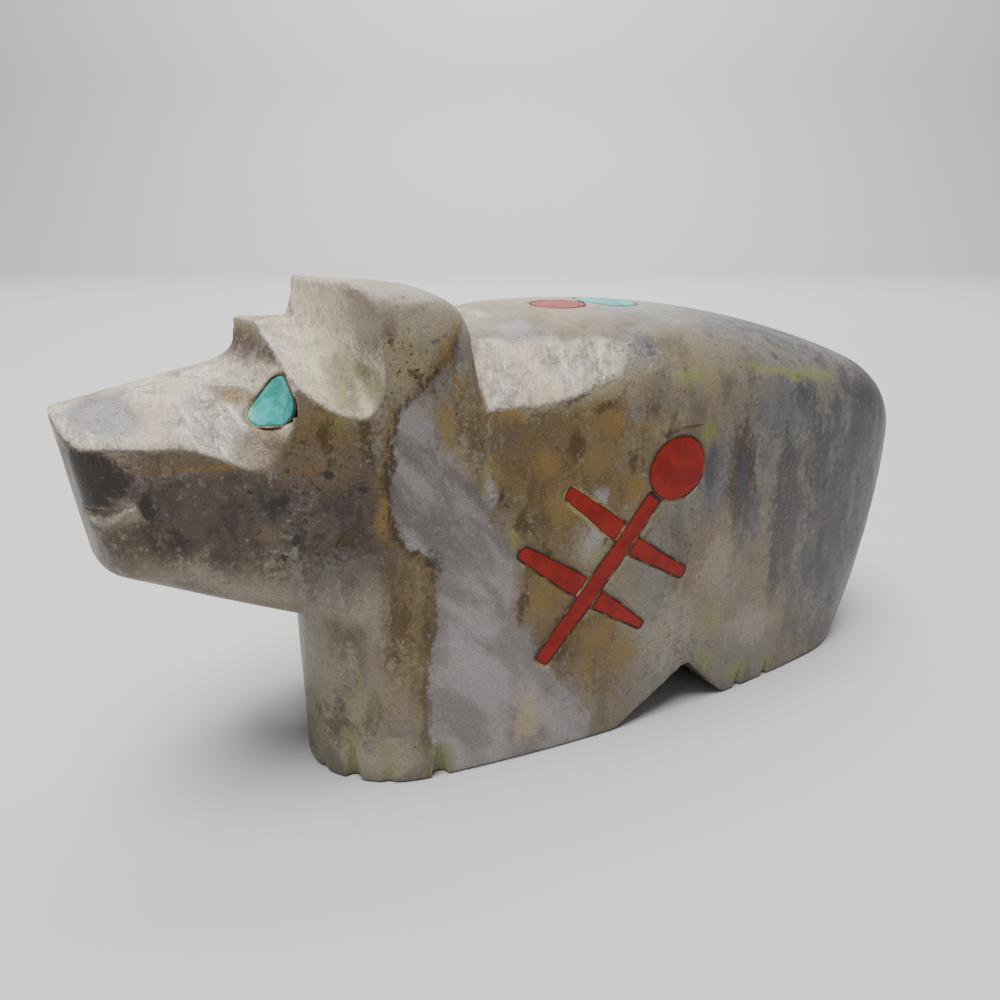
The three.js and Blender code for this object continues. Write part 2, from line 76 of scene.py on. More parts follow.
# What brings a distance along the body square to the slanted chest faces, and how soft their edges are
CHEST_STEEPNESS = 1.036
CHEST_SIDE_SHARE = 0.72
CHEST_ROUNDING = 3.0
CHEST_BLEND = 1.6
THROAT = Sizes(station=14.6, half=17.6, height=14.4, radius=9.0)

# Belly arch, gaps between left and right legs, claws and mouth
ARCH = Sizes(station=42.75, height=4.55, front=0.64, rear=1.0, blend=1.0)
ARCH_SQUARE = Sizes(front=0.936, rear=0.707)
GAPS = ((6.0, 25.0, 1.6, 9.0), (62.0, 80.0, 1.6, 8.0))
CLAW_FOOT = -0.5
FRONT_CLAWS = (
    (-5.4, 4.9, 0.85), (-7.5, 4.5, 0.65), (-9.5, 3.5, 0.65),
    (4.8, 4.7, 0.7), (7.0, 4.3, 0.65), (9.2, 3.6, 0.6),
)
SIDE_CLAWS = ((20.9, 3.0, 0.75), (49.1, 2.2, 0.6), (52.7, 1.9, 0.55))
MOUTH = Sizes(front=-0.5, rear=3.7, height=22.85, deep=1.75, tall=2.36)

# Inlay outlines
EYE = Sizes(station=12.0, half=6.7, height=28.37, corner=0.92, round=0.9, turn=66.0)
EYE_FACING = (-0.42, -0.71, 0.565)
SPINE = Sizes(station=38.08, height=19.6, angle=230.8, length=15.0)
SPINE_HALF = (0.64, 0.73, 0.62)
LIZARD_HEAD = Sizes(station=40.18, height=21.56, across=2.62, along=2.4, angle=21.0)
BAR_POINTS = 26
TIP_POINTS = 16
TIP_BLUNTNESS = 0.55
HAND_CUT = 0.03
HAND_CUT_WAVES = (2.3, 1.7)
# Each leg: where it starts along the spine, its side, its lean in degrees, its length and its half widths
LEGS = {
    "front_upper": (3.6, 1, 0.0, 6.75, (0.82, 0.7, 0.52)),
    "hind_upper": (8.55, 1, 2.8, 7.1, (0.84, 0.74, 0.48)),
    "front_lower": (3.98, -1, 7.0, 6.9, (0.76, 0.62, 0.5)),
    "hind_lower": (8.75, -1, 3.0, 6.2, (0.76, 0.57, 0.35)),
}
LEG_CLEARANCE = 0.2
EYE_PROUD = 0.06
OVAL_PROUD = 0.1
BACK_CORAL = Sizes(station=35.3, half=-3.2, along=2.3, across=1.6)
BACK_TURQUOISE = Sizes(station=40.6, half=-2.2, along=2.7, across=2.3)

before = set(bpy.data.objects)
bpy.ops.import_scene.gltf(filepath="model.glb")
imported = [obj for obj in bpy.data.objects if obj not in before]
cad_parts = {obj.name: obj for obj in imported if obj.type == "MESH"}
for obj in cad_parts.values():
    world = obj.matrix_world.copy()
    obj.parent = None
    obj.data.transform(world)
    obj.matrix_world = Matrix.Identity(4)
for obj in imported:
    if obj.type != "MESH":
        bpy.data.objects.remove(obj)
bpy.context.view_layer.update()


# Shared curves


def columns(*parts):
    return np.stack(parts, 1)


def normalised(rows):
    return rows / np.maximum(np.linalg.norm(rows, axis=-1, keepdims=True), 1e-9)


def sag(distance, radius):
    return distance * distance / (2 * radius)


def smooth_max(a, b, blend):
    near = np.maximum(blend - np.abs(a - b), 0.0) / blend
    return np.maximum(a, b) + near * near * blend / 4


def smooth_min(a, b, blend):
    return -smooth_max(-a, -b, blend)


def smooth_step(value, low, high):
    share = np.clip((value - low) / (high - low), 0.0, 1.0)
    return share * share * (3 - 2 * share)


# Stone noise, the same on every run


def lattice(i, j, k, seed):
    n = (i * 374761393 + j * 668265263 + k * 1440662683 + seed * 1013904223) & 0xFFFFFFFF
    n = ((n ^ (n >> 13)) * 1274126177) & 0xFFFFFFFF
    return ((n ^ (n >> 16)) & 0xFFFFFF) / float(0x1000000)


def clouds(points, size, seed):
    """Smooth noise from 0 to 1 with lumps of about the given size."""
    scaled = points / np.asarray(size, float)
    base = np.floor(scaled).astype(np.int64)
    share = scaled - base
    share = share * share * (3 - 2 * share)
    total = np.zeros(len(points))
    for corner in range(8):
        offset = np.array([corner & 1, corner >> 1 & 1, corner >> 2 & 1])
        weight = np.prod(np.where(offset, share, 1 - share), axis=1)
        i, j, k = (base + offset).T
        total += weight * lattice(i, j, k, seed)
    return total


def layered(points, size, seed, layers=3):
    size = np.asarray(size, float)
    total = sum(clouds(points, size / 2**n, seed + n) / 2**n for n in range(layers))
    return total / sum(1 / 2**n for n in range(layers))


# The carved surface as a field, negative inside the stone


def flank(station, y, z):
    half = HALF_WIDTH - sag(station - SIDE.widest, SIDE.bow) - sag(z - SIDE.middle, SIDE.upright)
    return np.abs(y) - half


def chest_faces(y):
    """Station of the front, left and right face of the chest."""
    front = CHEST.station + CHEST.skew * (y - CHEST.half)
    left = CHEST_LEFT.station - CHEST_LEFT.slope * (y - CHEST_LEFT.half)
    right = CHEST_RIGHT.station + CHEST_RIGHT.slope * (y - CHEST_RIGHT.half)
    return front, left, right


def trunk(station, y, z):
    half = np.abs(y)
    top = z - (BACK_HEIGHT - sag(station - BACK.highest, BACK.bow) - sag(half, BACK.cross))
    bend = np.where(z > RUMP.middle, RUMP.upper, RUMP.lower)
    rear = station - (LENGTH - sag(z - RUMP.middle, bend) - sag(half, RUMP.plan))
    body = smooth_max(flank(station, y, z), top, BACK.blend)
    body = smooth_max(body, rear, RUMP.blend)
    front, left, right = (face - station for face in chest_faces(y))
    chest = smooth_max(front / CHEST_STEEPNESS, left * CHEST_SIDE_SHARE, CHEST_ROUNDING)
    chest = smooth_max(chest, right * CHEST_SIDE_SHARE, CHEST_ROUNDING)
    return smooth_max(body, chest, CHEST_BLEND)


def shoulder(station, y, z):
    run = station - SHOULDER.start
    reach = SHOULDER.sideways * SHOULDER.half + SHOULDER.upward * SHOULDER.height
    reach = reach + SHOULDER_RUN.rise * run + SHOULDER_RUN.curve * run * run
    return SHOULDER.sideways * np.abs(y) + SHOULDER.upward * z - reach


def neck_groove(station, _, z):
    return NECK_GROOVE.radius - np.hypot(station - NECK_GROOVE.station, z - NECK_GROOVE.height)


def ear_top(station, y, z):
    outside = np.maximum(np.abs(y) - EARS.flat, 0.0)
    return z - (EARS.height - (station - EARS.middle) * EARS.slope - sag(outside, EARS.cross))


def head(station, y, z):
    half = np.abs(y)
    down = NOSE.height - z
    nose = sag(y, NOSE.plan) + NOSE.lean * down + NOSE.curve * down * down - station
    chin = CHIN.height - (station - CHIN.station) * CHIN.slope + sag(half, CHIN.cross) - z
    top = ear_top(station, y, z)
    back = station - EAR_BACK.station + (z - EAR_BACK.height) * EAR_BACK.lean
    block = smooth_max(flank(station, y, z), chin, HEAD_BLENDS.chin)
    block = smooth_max(block, nose, HEAD_BLENDS.nose)
    return smooth_max(block, smooth_max(top, back, EAR_BACK.corner), HEAD_BLENDS.top)


def channel(station, y, z, side):
    """Stone left by the wheel channel on one side (-1 left, 1 right): positive where it cuts."""
    tilt = math.radians(CHANNEL.tilt)
    out = y * side
    up = (z - CHANNEL.height) * math.cos(tilt) + out * math.sin(tilt)
    along = station - CHANNEL.station - CHANNEL.sweep * out
    lift = up if side < 0 else np.minimum(up, 0.0)
    tube = (np.maximum(along, 0.0) ** 3 + np.abs(lift) ** 3) ** (1 / 3) - CHANNEL.radius
    slanted = (along - CHANNEL_SLOPE.start) * CHANNEL_SLOPE.slope
    floor = -(up + CHANNEL_SLOPE.depth + slanted) * CHANNEL_SLOPE.square
    return -smooth_max(tube, floor, CHANNEL_SLOPE.blend)


def channels(station, y, z):
    return np.maximum(channel(station, y, z, -1), channel(station, y, z, 1))


def muzzle(station, y, z):
    half = np.abs(y)
    ridge = BRIDGE.height + BRIDGE.slope * station + BRIDGE.curve * station * station
    crown = z - (ridge - sag(half, BRIDGE.cross))
    run = smooth_step(station, CHEEK.start, CHEEK.start + CHEEK.run)
    slope = CHEEK.slope + CHEEK.extra * run
    cheek = (z - (ridge + CHEEK.drop - slope * (half - BRIDGE.flat))) / np.sqrt(1 + slope * slope)
    above = smooth_max(crown, cheek, BROW_FILLET.corner)
    limit = smooth_min(BROW.station + BROW.sweep * half, BROW.limit, BROW_FILLET.corner)
    ahead = station - limit - (z - BROW.height) * BROW.lean
    return -smooth_max(-above, ahead, BROW_FILLET.middle + BROW_FILLET.per_half * half)


def brow_top(station, y, z):
    over = z - (BROW.height - BROW.fall * np.abs(y))
    return -smooth_max(-over, station - BROW.end, BROW_FILLET.end)


def throat(station, y, z):
    reach = np.sqrt(
        (station - THROAT.station) ** 2 + (np.abs(y) - THROAT.half) ** 2 + (z - THROAT.height) ** 2
    )
    return THROAT.radius - reach


def arch(station, _, z):
    front = ((z - ARCH.height) - (station - ARCH.station) * ARCH.front) * ARCH_SQUARE.front
    rear = ((z - ARCH.height) + (station - ARCH.station) * ARCH.rear) * ARCH_SQUARE.rear
    return -smooth_max(front, rear, ARCH.blend)


def leg_gap(station, y, z, gap):
    start, end, half, height = gap
    above = np.maximum(z - (height - half), 0.0)
    slot = np.hypot(y, above) - half
    return -np.maximum(slot, np.maximum(start - station, station - end))


def claw_places():
    """Station, y, top and radius of each claw nick."""
    places = [(float(max(chest_faces(half))), half, top, radius) for half, top, radius in FRONT_CLAWS]
    for at, top, radius in SIDE_CLAWS:
        half = float(-flank(np.array(at), 0.0, 0.0))
        places += [(at, side * half, top, radius) for side in (-1, 1)]
    return places


def claws(station, y, z):
    """Upright nicks, full at the foot and closing to a point at the top: positive where they cut."""
    cut = np.full(np.shape(station), -9.0)
    for at, half, top, radius in claw_places():
        taper = np.clip((top - z) / (top - CLAW_FOOT), 0.0, 1.0)
        off = np.hypot(station - at, y - half)
        cut = np.maximum(cut, np.where(z < top, radius * taper - off, -9.0))
    return cut


def mouth(station, y, z):
    """A wedge-shaped cut on each side, flat above and slanted below, closing towards the rear."""
    taper = (MOUTH.rear - station) / (MOUTH.rear - MOUTH.front)
    inward = -flank(station, y, MOUTH.height)
    slant = MOUTH.tall / MOUTH.deep
    lower = MOUTH.height - MOUTH.tall * taper + slant * inward
    return np.minimum(MOUTH.height - z, (z - lower) / math.hypot(1.0, slant))


SHOULDER_BLEND = 0.5
NECK_BLEND = 1.0

# The cuts made into trunk and head together, in order, and how softly each one meets the rest
CUTS = (
    (lambda station, y, z: channel(station, y, z, -1), 0.3),
    (lambda station, y, z: channel(station, y, z, 1), 0.3),
    (brow_top, 0.4),
    (muzzle, 0.35),
    (throat, 0.3),
    (arch, 0.4),
    (lambda station, y, z: leg_gap(station, y, z, GAPS[0]), 0.3),
    (lambda station, y, z: leg_gap(station, y, z, GAPS[1]), 0.3),
    (claws, 0.15),
    (mouth, 0.12),
    (lambda station, y, z: -z, 0.4),
)


def carved(points):
    """The carved stone without its inlay pockets. Points are rows of station, y and height."""
    station, y, z = points.T
    body = smooth_max(trunk(station, y, z), shoulder(station, y, z), SHOULDER_BLEND)
    body = smooth_max(body, neck_groove(station, y, z), NECK_BLEND)
    body = np.minimum(body, head(station, y, z))
    for cut, blend in CUTS:
        body = smooth_max(body, cut(station, y, z), blend)
    return body


# Inlay outlines, each drawn on a plane of its own


def turned(points, angle, start):
    cos, sin = math.cos(angle), math.sin(angle)
    return np.array(start) + points @ np.array([[cos, sin], [-sin, cos]])


def oval(centre, across, along, angle, count=64):
    turn = np.linspace(0, 2 * math.pi, count, endpoint=False)
    return turned(columns(across * np.cos(turn), along * np.sin(turn)), angle, centre)


def rounded_triangle(corner, radius, turn, count=20):
    points = []
    for n in range(3):
        facing = math.radians(turn + 120 * n)
        sweep = facing + np.linspace(-math.pi / 3, math.pi / 3, count, endpoint=False)
        middle = corner * np.array([math.cos(facing), math.sin(facing)])
        points.append(middle + radius * columns(np.cos(sweep), np.sin(sweep)))
    return np.concatenate(points)


def bar(start, angle, length, halves):
    """A bar with half widths at its root, middle and tip, a blunt tip and hand-cut sides."""
    root, bulge, tip = halves
    blunt = tip * TIP_BLUNTNESS
    end = length - blunt
    run = np.linspace(0, end, BAR_POINTS)
    share = run / end
    half = root * (1 - share) * (1 - 2 * share) + 4 * bulge * share * (1 - share)
    half = half + tip * share * (2 * share - 1)
    turn = np.linspace(-math.pi / 2, math.pi / 2, TIP_POINTS)[1:-1]
    fade = np.sin(math.pi * share)
    lower = columns(run, -half + HAND_CUT * fade * np.sin(HAND_CUT_WAVES[0] * run + length))
    cap = columns(end + blunt * np.cos(turn), tip * np.sin(turn))
    upper = columns(run, half + HAND_CUT * fade * np.sin(HAND_CUT_WAVES[1] * run + 2 * length))[::-1]
    return turned(np.concatenate([lower, cap, upper]), angle, start)


def leg_outline(along, side, lean, length, halves):
    spine = math.radians(SPINE.angle)
    angle = spine - side * math.pi / 2 + math.radians(lean)
    clear = SPINE_HALF[1] + LEG_CLEARANCE
    start = (
        SPINE.station + along * math.cos(spine) + clear * math.cos(angle),
        SPINE.height + along * math.sin(spine) + clear * math.sin(angle),
    )
    return bar(start, angle, length - clear, halves)


def eye_plane(side):
    out = normalised(np.array(EYE_FACING))
    right = normalised(np.array([1.0, 0, 0]) - out * out[0])
    up = np.cross(out, right)
    flip = np.array([1.0, -side, 1.0])
    origin = np.array([EYE.station, -EYE.half, EYE.height])
    return tuple(v * flip for v in (origin, right, up, out))


PLANES = {
    "flank": tuple(np.array(v, float) for v in ((0, -12.5, 0), (1, 0, 0), (0, 0, 1), (0, -1, 0))),
    "back": tuple(np.array(v, float) for v in ((0, 0, 33.0), (1, 0, 0), (0, 1, 0), (0, 0, 1))),
    "eye_left": eye_plane(-1),
    "eye_right": eye_plane(1),
}


def inlay_outlines():
    """Name, plane, outline, kind of stone and how far it stands proud, for every inlay piece."""
    angle = math.radians(SPINE.angle)
    eye = rounded_triangle(EYE.corner, EYE.round, EYE.turn)
    middle = (LIZARD_HEAD.station, LIZARD_HEAD.height)
    head_oval = oval(middle, LIZARD_HEAD.across, LIZARD_HEAD.along, math.radians(LIZARD_HEAD.angle))
    spine = bar((SPINE.station, SPINE.height), angle, SPINE.length, SPINE_HALF)
    pieces = [("eye_" + side, "eye_" + side, eye, "turquoise", EYE_PROUD) for side in ("left", "right")]
    lizard = [("head", head_oval), ("spine", spine)]
    lizard += [("leg_" + name, leg_outline(*leg)) for name, leg in LEGS.items()]
    pieces += [("lizard_" + name, "flank", outline, "coral", 0.0) for name, outline in lizard]
    for stone, size, proud in (("coral", BACK_CORAL, 0.0), ("turquoise", BACK_TURQUOISE, OVAL_PROUD)):
        outline = oval((size.station, size.half), size.along, size.across, 0.0)
        pieces.append(("back_" + stone, "back", outline, stone, proud))
    return pieces


def offset_outline(outline, distance):
    """The outline moved outwards by a small distance."""
    before = normalised(outline - np.roll(outline, 1, 0))
    after = normalised(np.roll(outline, -1, 0) - outline)
    along = normalised(before + after)
    across = columns(along[:, 1], -along[:, 0])
    mitre = np.maximum(np.sum(along * after, 1), 0.6)
    return outline + across * distance / mitre[:, None]


def outline_distance(points, outline):
    """Distance from points to a closed outline in its plane, negative inside it."""
    best = np.full(len(points), 99.0)
    inside = np.zeros(len(points), bool)
    for start, end in zip(outline, np.roll(outline, -1, 0)):
        edge = end - start
        rel = points - start
        share = np.clip(rel @ edge / max(edge @ edge, 1e-12), 0, 1)
        best = np.minimum(best, np.hypot(*(rel - share[:, None] * edge).T))
        if edge[1] != 0:
            crosses = (start[1] > points[:, 1]) != (end[1] > points[:, 1])
            inside ^= crosses & (points[:, 0] < start[0] + rel[:, 1] * edge[0] / edge[1])
    return np.where(inside, -best, best)


def inlay_distance(points, reach):
    """Distance to the nearest inlay outline seen along its own plane, for points on the side it lies in."""
    nearest = np.full(len(points), reach)
    for _, plane, outline, _, _ in INLAYS:
        origin, right, up, out = PLANES[plane]
        rel = points - origin
        flat = columns(rel @ right, rel @ up)
        low, high = outline.min(0) - reach, outline.max(0) + reach
        near = np.all((flat > low) & (flat < high), 1) & (rel @ out > -SEARCH_REACH)
        if near.any():
            nearest[near] = np.minimum(nearest[near], outline_distance(flat[near], outline))
    return nearest


INLAYS = inlay_outlines()
POCKET_GAP = 0.13
POCKET_DEPTH = 1.1
POCKET_MARGIN = 1.2
RIM_REACH = 2.0


def stone_field(points):
    """The carved stone with a pocket cut for every inlay piece."""
    body = carved(points)
    near = np.abs(body) < POCKET_DEPTH + POCKET_MARGIN
    if near.any():
        outside = inlay_distance(points[near], RIM_REACH) - POCKET_GAP
        pocket = np.maximum(outside, -(body[near] + POCKET_DEPTH))
        body[near] = np.maximum(body[near], -pocket)
    return body


def gradient(field, points, step):
    slope = np.empty_like(points)
    for axis in range(3):
        move = np.zeros(3)
        move[axis] = step
        slope[:, axis] = (field(points + move) - field(points - move)) / (2 * step)
    return slope


# Turning the field into a mesh that keeps its ground edges sharp

SETTLE_ROUNDS = 6
CROSSING_ROUNDS = 7
FLATNESS = 0.04
NORMAL_STEP = 0.012


def settle(values):
    """Turns the weaker of two diagonal corners on every face where inside and outside alternate."""
    for _ in range(SETTLE_ROUNDS):
        turned = 0
        for axis in range(3):
            first, second = [n for n in range(3) if n != axis]
            corners = []
            for i, j in ((0, 0), (1, 0), (1, 1), (0, 1)):
                cut = [slice(None)] * 3
                cut[first] = slice(i, values.shape[first] - 1 + i)
                cut[second] = slice(j, values.shape[second] - 1 + j)
                corners.append(values[tuple(cut)])
            signs = [corner < 0 for corner in corners]
            mixed = (signs[0] == signs[2]) & (signs[1] == signs[3]) & (signs[0] != signs[1])
            for spot in np.argwhere(mixed):
                size = [abs(corner[tuple(spot)]) for corner in corners]
                weakest = corners[int(np.argmin(size))]
                weakest[tuple(spot)] = -weakest[tuple(spot)] * 0.01
                turned += 1
        if not turned:
            return


def zero_between(field, start, end, at_start, at_end):
    """The point between two places, one inside and one outside, where the field is zero."""
    low, high = np.zeros(len(start)), np.ones(len(start))
    value_low, value_high = at_start.copy(), at_end.copy()
    for _ in range(CROSSING_ROUNDS):
        share = low + (high - low) * value_low / (value_low - value_high)
        share = np.clip(share, low + 0.02 * (high - low), high - 0.02 * (high - low))
        value = field(start + (end - start) * share[:, None])
        same = (value < 0) == (value_low < 0)
        low, value_low = np.where(same, share, low), np.where(same, value, value_low)
        value_high = np.where(same, value_high / 2, value)
        high = np.where(same, high, share)
        value_low = np.where(same, value_low, value_low / 2)
    share = (low + high) / 2
    return start + (end - start) * share[:, None]


def edge_crossings(field, axes, values):
    found = []
    for axis in range(3):
        low, high = [slice(None)] * 3, [slice(None)] * 3
        low[axis], high[axis] = slice(None, -1), slice(1, None)
        at_low, at_high = values[tuple(low)], values[tuple(high)]
        index = np.argwhere((at_low < 0) != (at_high < 0))
        start = np.stack([axes[n][index[:, n]] for n in range(3)], 1)
        end = start.copy()
        end[:, axis] = axes[axis][index[:, axis] + 1]
        picked = tuple(index.T)
        point = zero_between(field, start, end, at_low[picked], at_high[picked])
        found.append((axis, index, point, at_low[picked] < 0))
    return found


def cells_round(axis, index):
    """The four cells round each grid edge, in order round its positive direction."""
    across, up = (axis + 1) % 3, (axis + 2) % 3
    rings = []
    for move_across, move_up in ((-1, -1), (0, -1), (0, 0), (-1, 0)):
        cell = index.copy()
        cell[:, across] += move_across
        cell[:, up] += move_up
        rings.append(cell)
    return rings


def cell_points(sums, count, mass):
    """The point in each cell that lies closest to all the planes crossing its edges."""
    centre = mass / count[:, None]
    square = np.empty((len(count), 3, 3))
    for n, (i, j) in enumerate(((0, 0), (0, 1), (0, 2), (1, 1), (1, 2), (2, 2))):
        square[:, i, j] = square[:, j, i] = sums[:, n]
    rest = sums[:, 6:9] - np.einsum("nij,nj->ni", square, centre)
    size, direction = np.linalg.eigh(square)
    firm = size > FLATNESS * size[:, 2:]
    inverse = np.where(firm, 1 / np.where(firm, size, 1), 0)
    move = np.einsum("nij,nj->ni", direction, inverse * np.einsum("nji,nj->ni", direction, rest))
    return centre + move


def skin(field, axes):
    """Vertices and triangles of the field's surface over a grid whose steps may differ along it."""
    shape = tuple(len(axis) for axis in axes)
    values = np.empty(shape)
    across = np.stack(np.meshgrid(axes[1], axes[2], indexing="ij"), -1).reshape(-1, 2)
    for n, station in enumerate(axes[0]):
        sheet = np.concatenate([np.full((len(across), 1), station), across], 1)
        values[n] = field(sheet).reshape(shape[1:])
    settle(values)
    crossings = edge_crossings(field, axes, values)
    keys, rows, quads = [], [], []
    for axis, index, point, inside in crossings:
        normal = normalised(gradient(field, point, NORMAL_STEP))
        level = np.sum(normal * point, 1, keepdims=True)
        square = normal[:, [0, 0, 0, 1, 1, 2]] * normal[:, [0, 1, 2, 1, 2, 2]]
        row = np.concatenate([square, normal * level, point, np.ones((len(point), 1))], 1)
        ring = [np.ravel_multi_index(tuple(cell.T), shape) for cell in cells_round(axis, index)]
        keys += ring
        rows += [row] * 4
        quad = np.stack(ring, 1)
        quads.append(np.where(inside[:, None], quad, quad[:, ::-1]))
    used, where = np.unique(np.concatenate(keys), return_inverse=True)
    rows = np.concatenate(rows)
    totals = np.stack([np.bincount(where, rows[:, n]) for n in range(rows.shape[1])], 1)
    points = cell_points(totals[:, :9], totals[:, 12], totals[:, 9:12])
    cell = np.stack(np.unravel_index(used, shape), 1)
    low = np.stack([axes[n][cell[:, n]] for n in range(3)], 1)
    high = np.stack([axes[n][cell[:, n] + 1] for n in range(3)], 1)
    points = np.clip(points, low, high)
    quads = np.searchsorted(used, np.concatenate(quads))
    corners = points[quads]
    first = np.abs(field((corners[:, 0] + corners[:, 2]) / 2))
    second = np.abs(field((corners[:, 1] + corners[:, 3]) / 2))
    order = np.where((first <= second)[:, None], [0, 1, 2, 0, 2, 3], [0, 1, 3, 1, 2, 3])
    triangles = np.take_along_axis(quads, order, 1).reshape(-1, 3)
    return points, triangles


def spaced(*stops):
    """Grid lines whose step is set between stops: start, step, stop, step, stop and so on."""
    lines = [stops[0]]
    for step, stop in zip(stops[1::2], stops[2::2]):
        count = int(round((stop - lines[-1]) / step))
        lines += list(np.linspace(lines[-1], stop, count + 1)[1:])
    return np.array(lines)


# Marks of the wheel: where the stone is ground, and the way the scratches run

# Each ground face: the cut that made it, the direction across its scratches and how fresh it looks
GROUND_CUTS = {
    "neck": (neck_groove, (0.84, 0.48, 0.26), 0.8),
    "shoulder": (shoulder, (0.84, 0.48, 0.26), 1.0),
    "channel": (channels, (0.75, 0.43, 0.5), 1.0),
    "brow_top": (brow_top, (0.2, 0.98, 0.0), 0.7),
    "ears": (ear_top, (0.2, 0.98, 0.0), 0.75),
    "muzzle": (muzzle, (0.66, 0.38, 0.64), 1.0),
    "throat": (throat, (0.5, 0.29, 0.8), 0.36),
    # The mouth's faces are pale partly in their own chalky ground colour, partly as painted light lifting the
    # lower face that the lip shades.
    "mouth": (lambda s, y, z: np.where(s < MOUTH.rear, mouth(s, y, z), 9.0), (0.2, 0.1, 0.9), 0.55),
}
BROW_SHADE = (29.2, 31.4)
THROAT_END = (16.6, 18.8)
MARK_REACH = 0.22
HEAD_MARGIN = 0.3
THROAT_ARRIS = Sizes(height=14.0, station=13.3, slope=0.65)


def wheel_marks(points):
    """How freshly ground each point is, and a coordinate that runs across the scratches there."""
    station, y, z = points.T
    ground = np.zeros(len(points))
    across = station * 0.3 + z
    behind_head = np.clip(head(station, y, z) / HEAD_MARGIN, 0.0, 1.0)
    above_arris = z - THROAT_ARRIS.height + (station - THROAT_ARRIS.station) * THROAT_ARRIS.slope
    for name, (cut, direction, amount) in GROUND_CUTS.items():
        near = amount * np.clip(1.3 - np.abs(cut(station, y, z)) / MARK_REACH, 0.0, 1.0)
        if name == "muzzle":
            near = near * (1 - 0.75 * smooth_step(z, *BROW_SHADE))
        if name in ("neck", "shoulder"):
            near = near * behind_head
        if name == "throat":
            near = near * (1 - smooth_step(station, *THROAT_END)) * smooth_step(above_arris, -0.8, 0.8)
        mirrored = columns(station, np.abs(y), z) @ np.array(direction)
        across = np.where(near > ground, mirrored, across)
        ground = np.maximum(ground, near)
    return ground, across


WAVES = Sizes(broad=0.14, fine=0.035, pits=0.25, share=0.27)


def relief(points):
    """Low waves and chips that hand grinding leaves, in millimetres outwards."""
    broad = layered(points, 5.0, 11, 2) - 0.5
    fine = layered(points, (1.3, 1.3, 2.0), 23, 2) - 0.5
    pits = np.maximum(WAVES.share - clouds(points, 0.8, 41), 0.0)
    return WAVES.broad * broad + WAVES.fine * fine - WAVES.pits * pits


# Where the stone's colours lie, as seen from the left side. An area is station, height, half length, half
# height and, where it is turned, the degrees.

VEIN_HEIGHTS = (0.0, 4.0, 7.0, 9.0, 13.0, 17.0, 19.0, 21.5, 24.0, 27.0, 28.7, 30.0, 32.0, 34.0)
VEIN_FRONT = (20.6, 20.0, 19.9, 20.2, 20.6, 20.6, 18.7, 18.1, 17.8, 18.8, 20.2, 21.6, 22.6, 23.4)
VEIN_REAR = (33.6, 32.6, 30.2, 28.6, 27.4, 26.1, 25.4, 24.4, 22.7, 21.3, 21.5, 22.9, 23.8, 24.6)

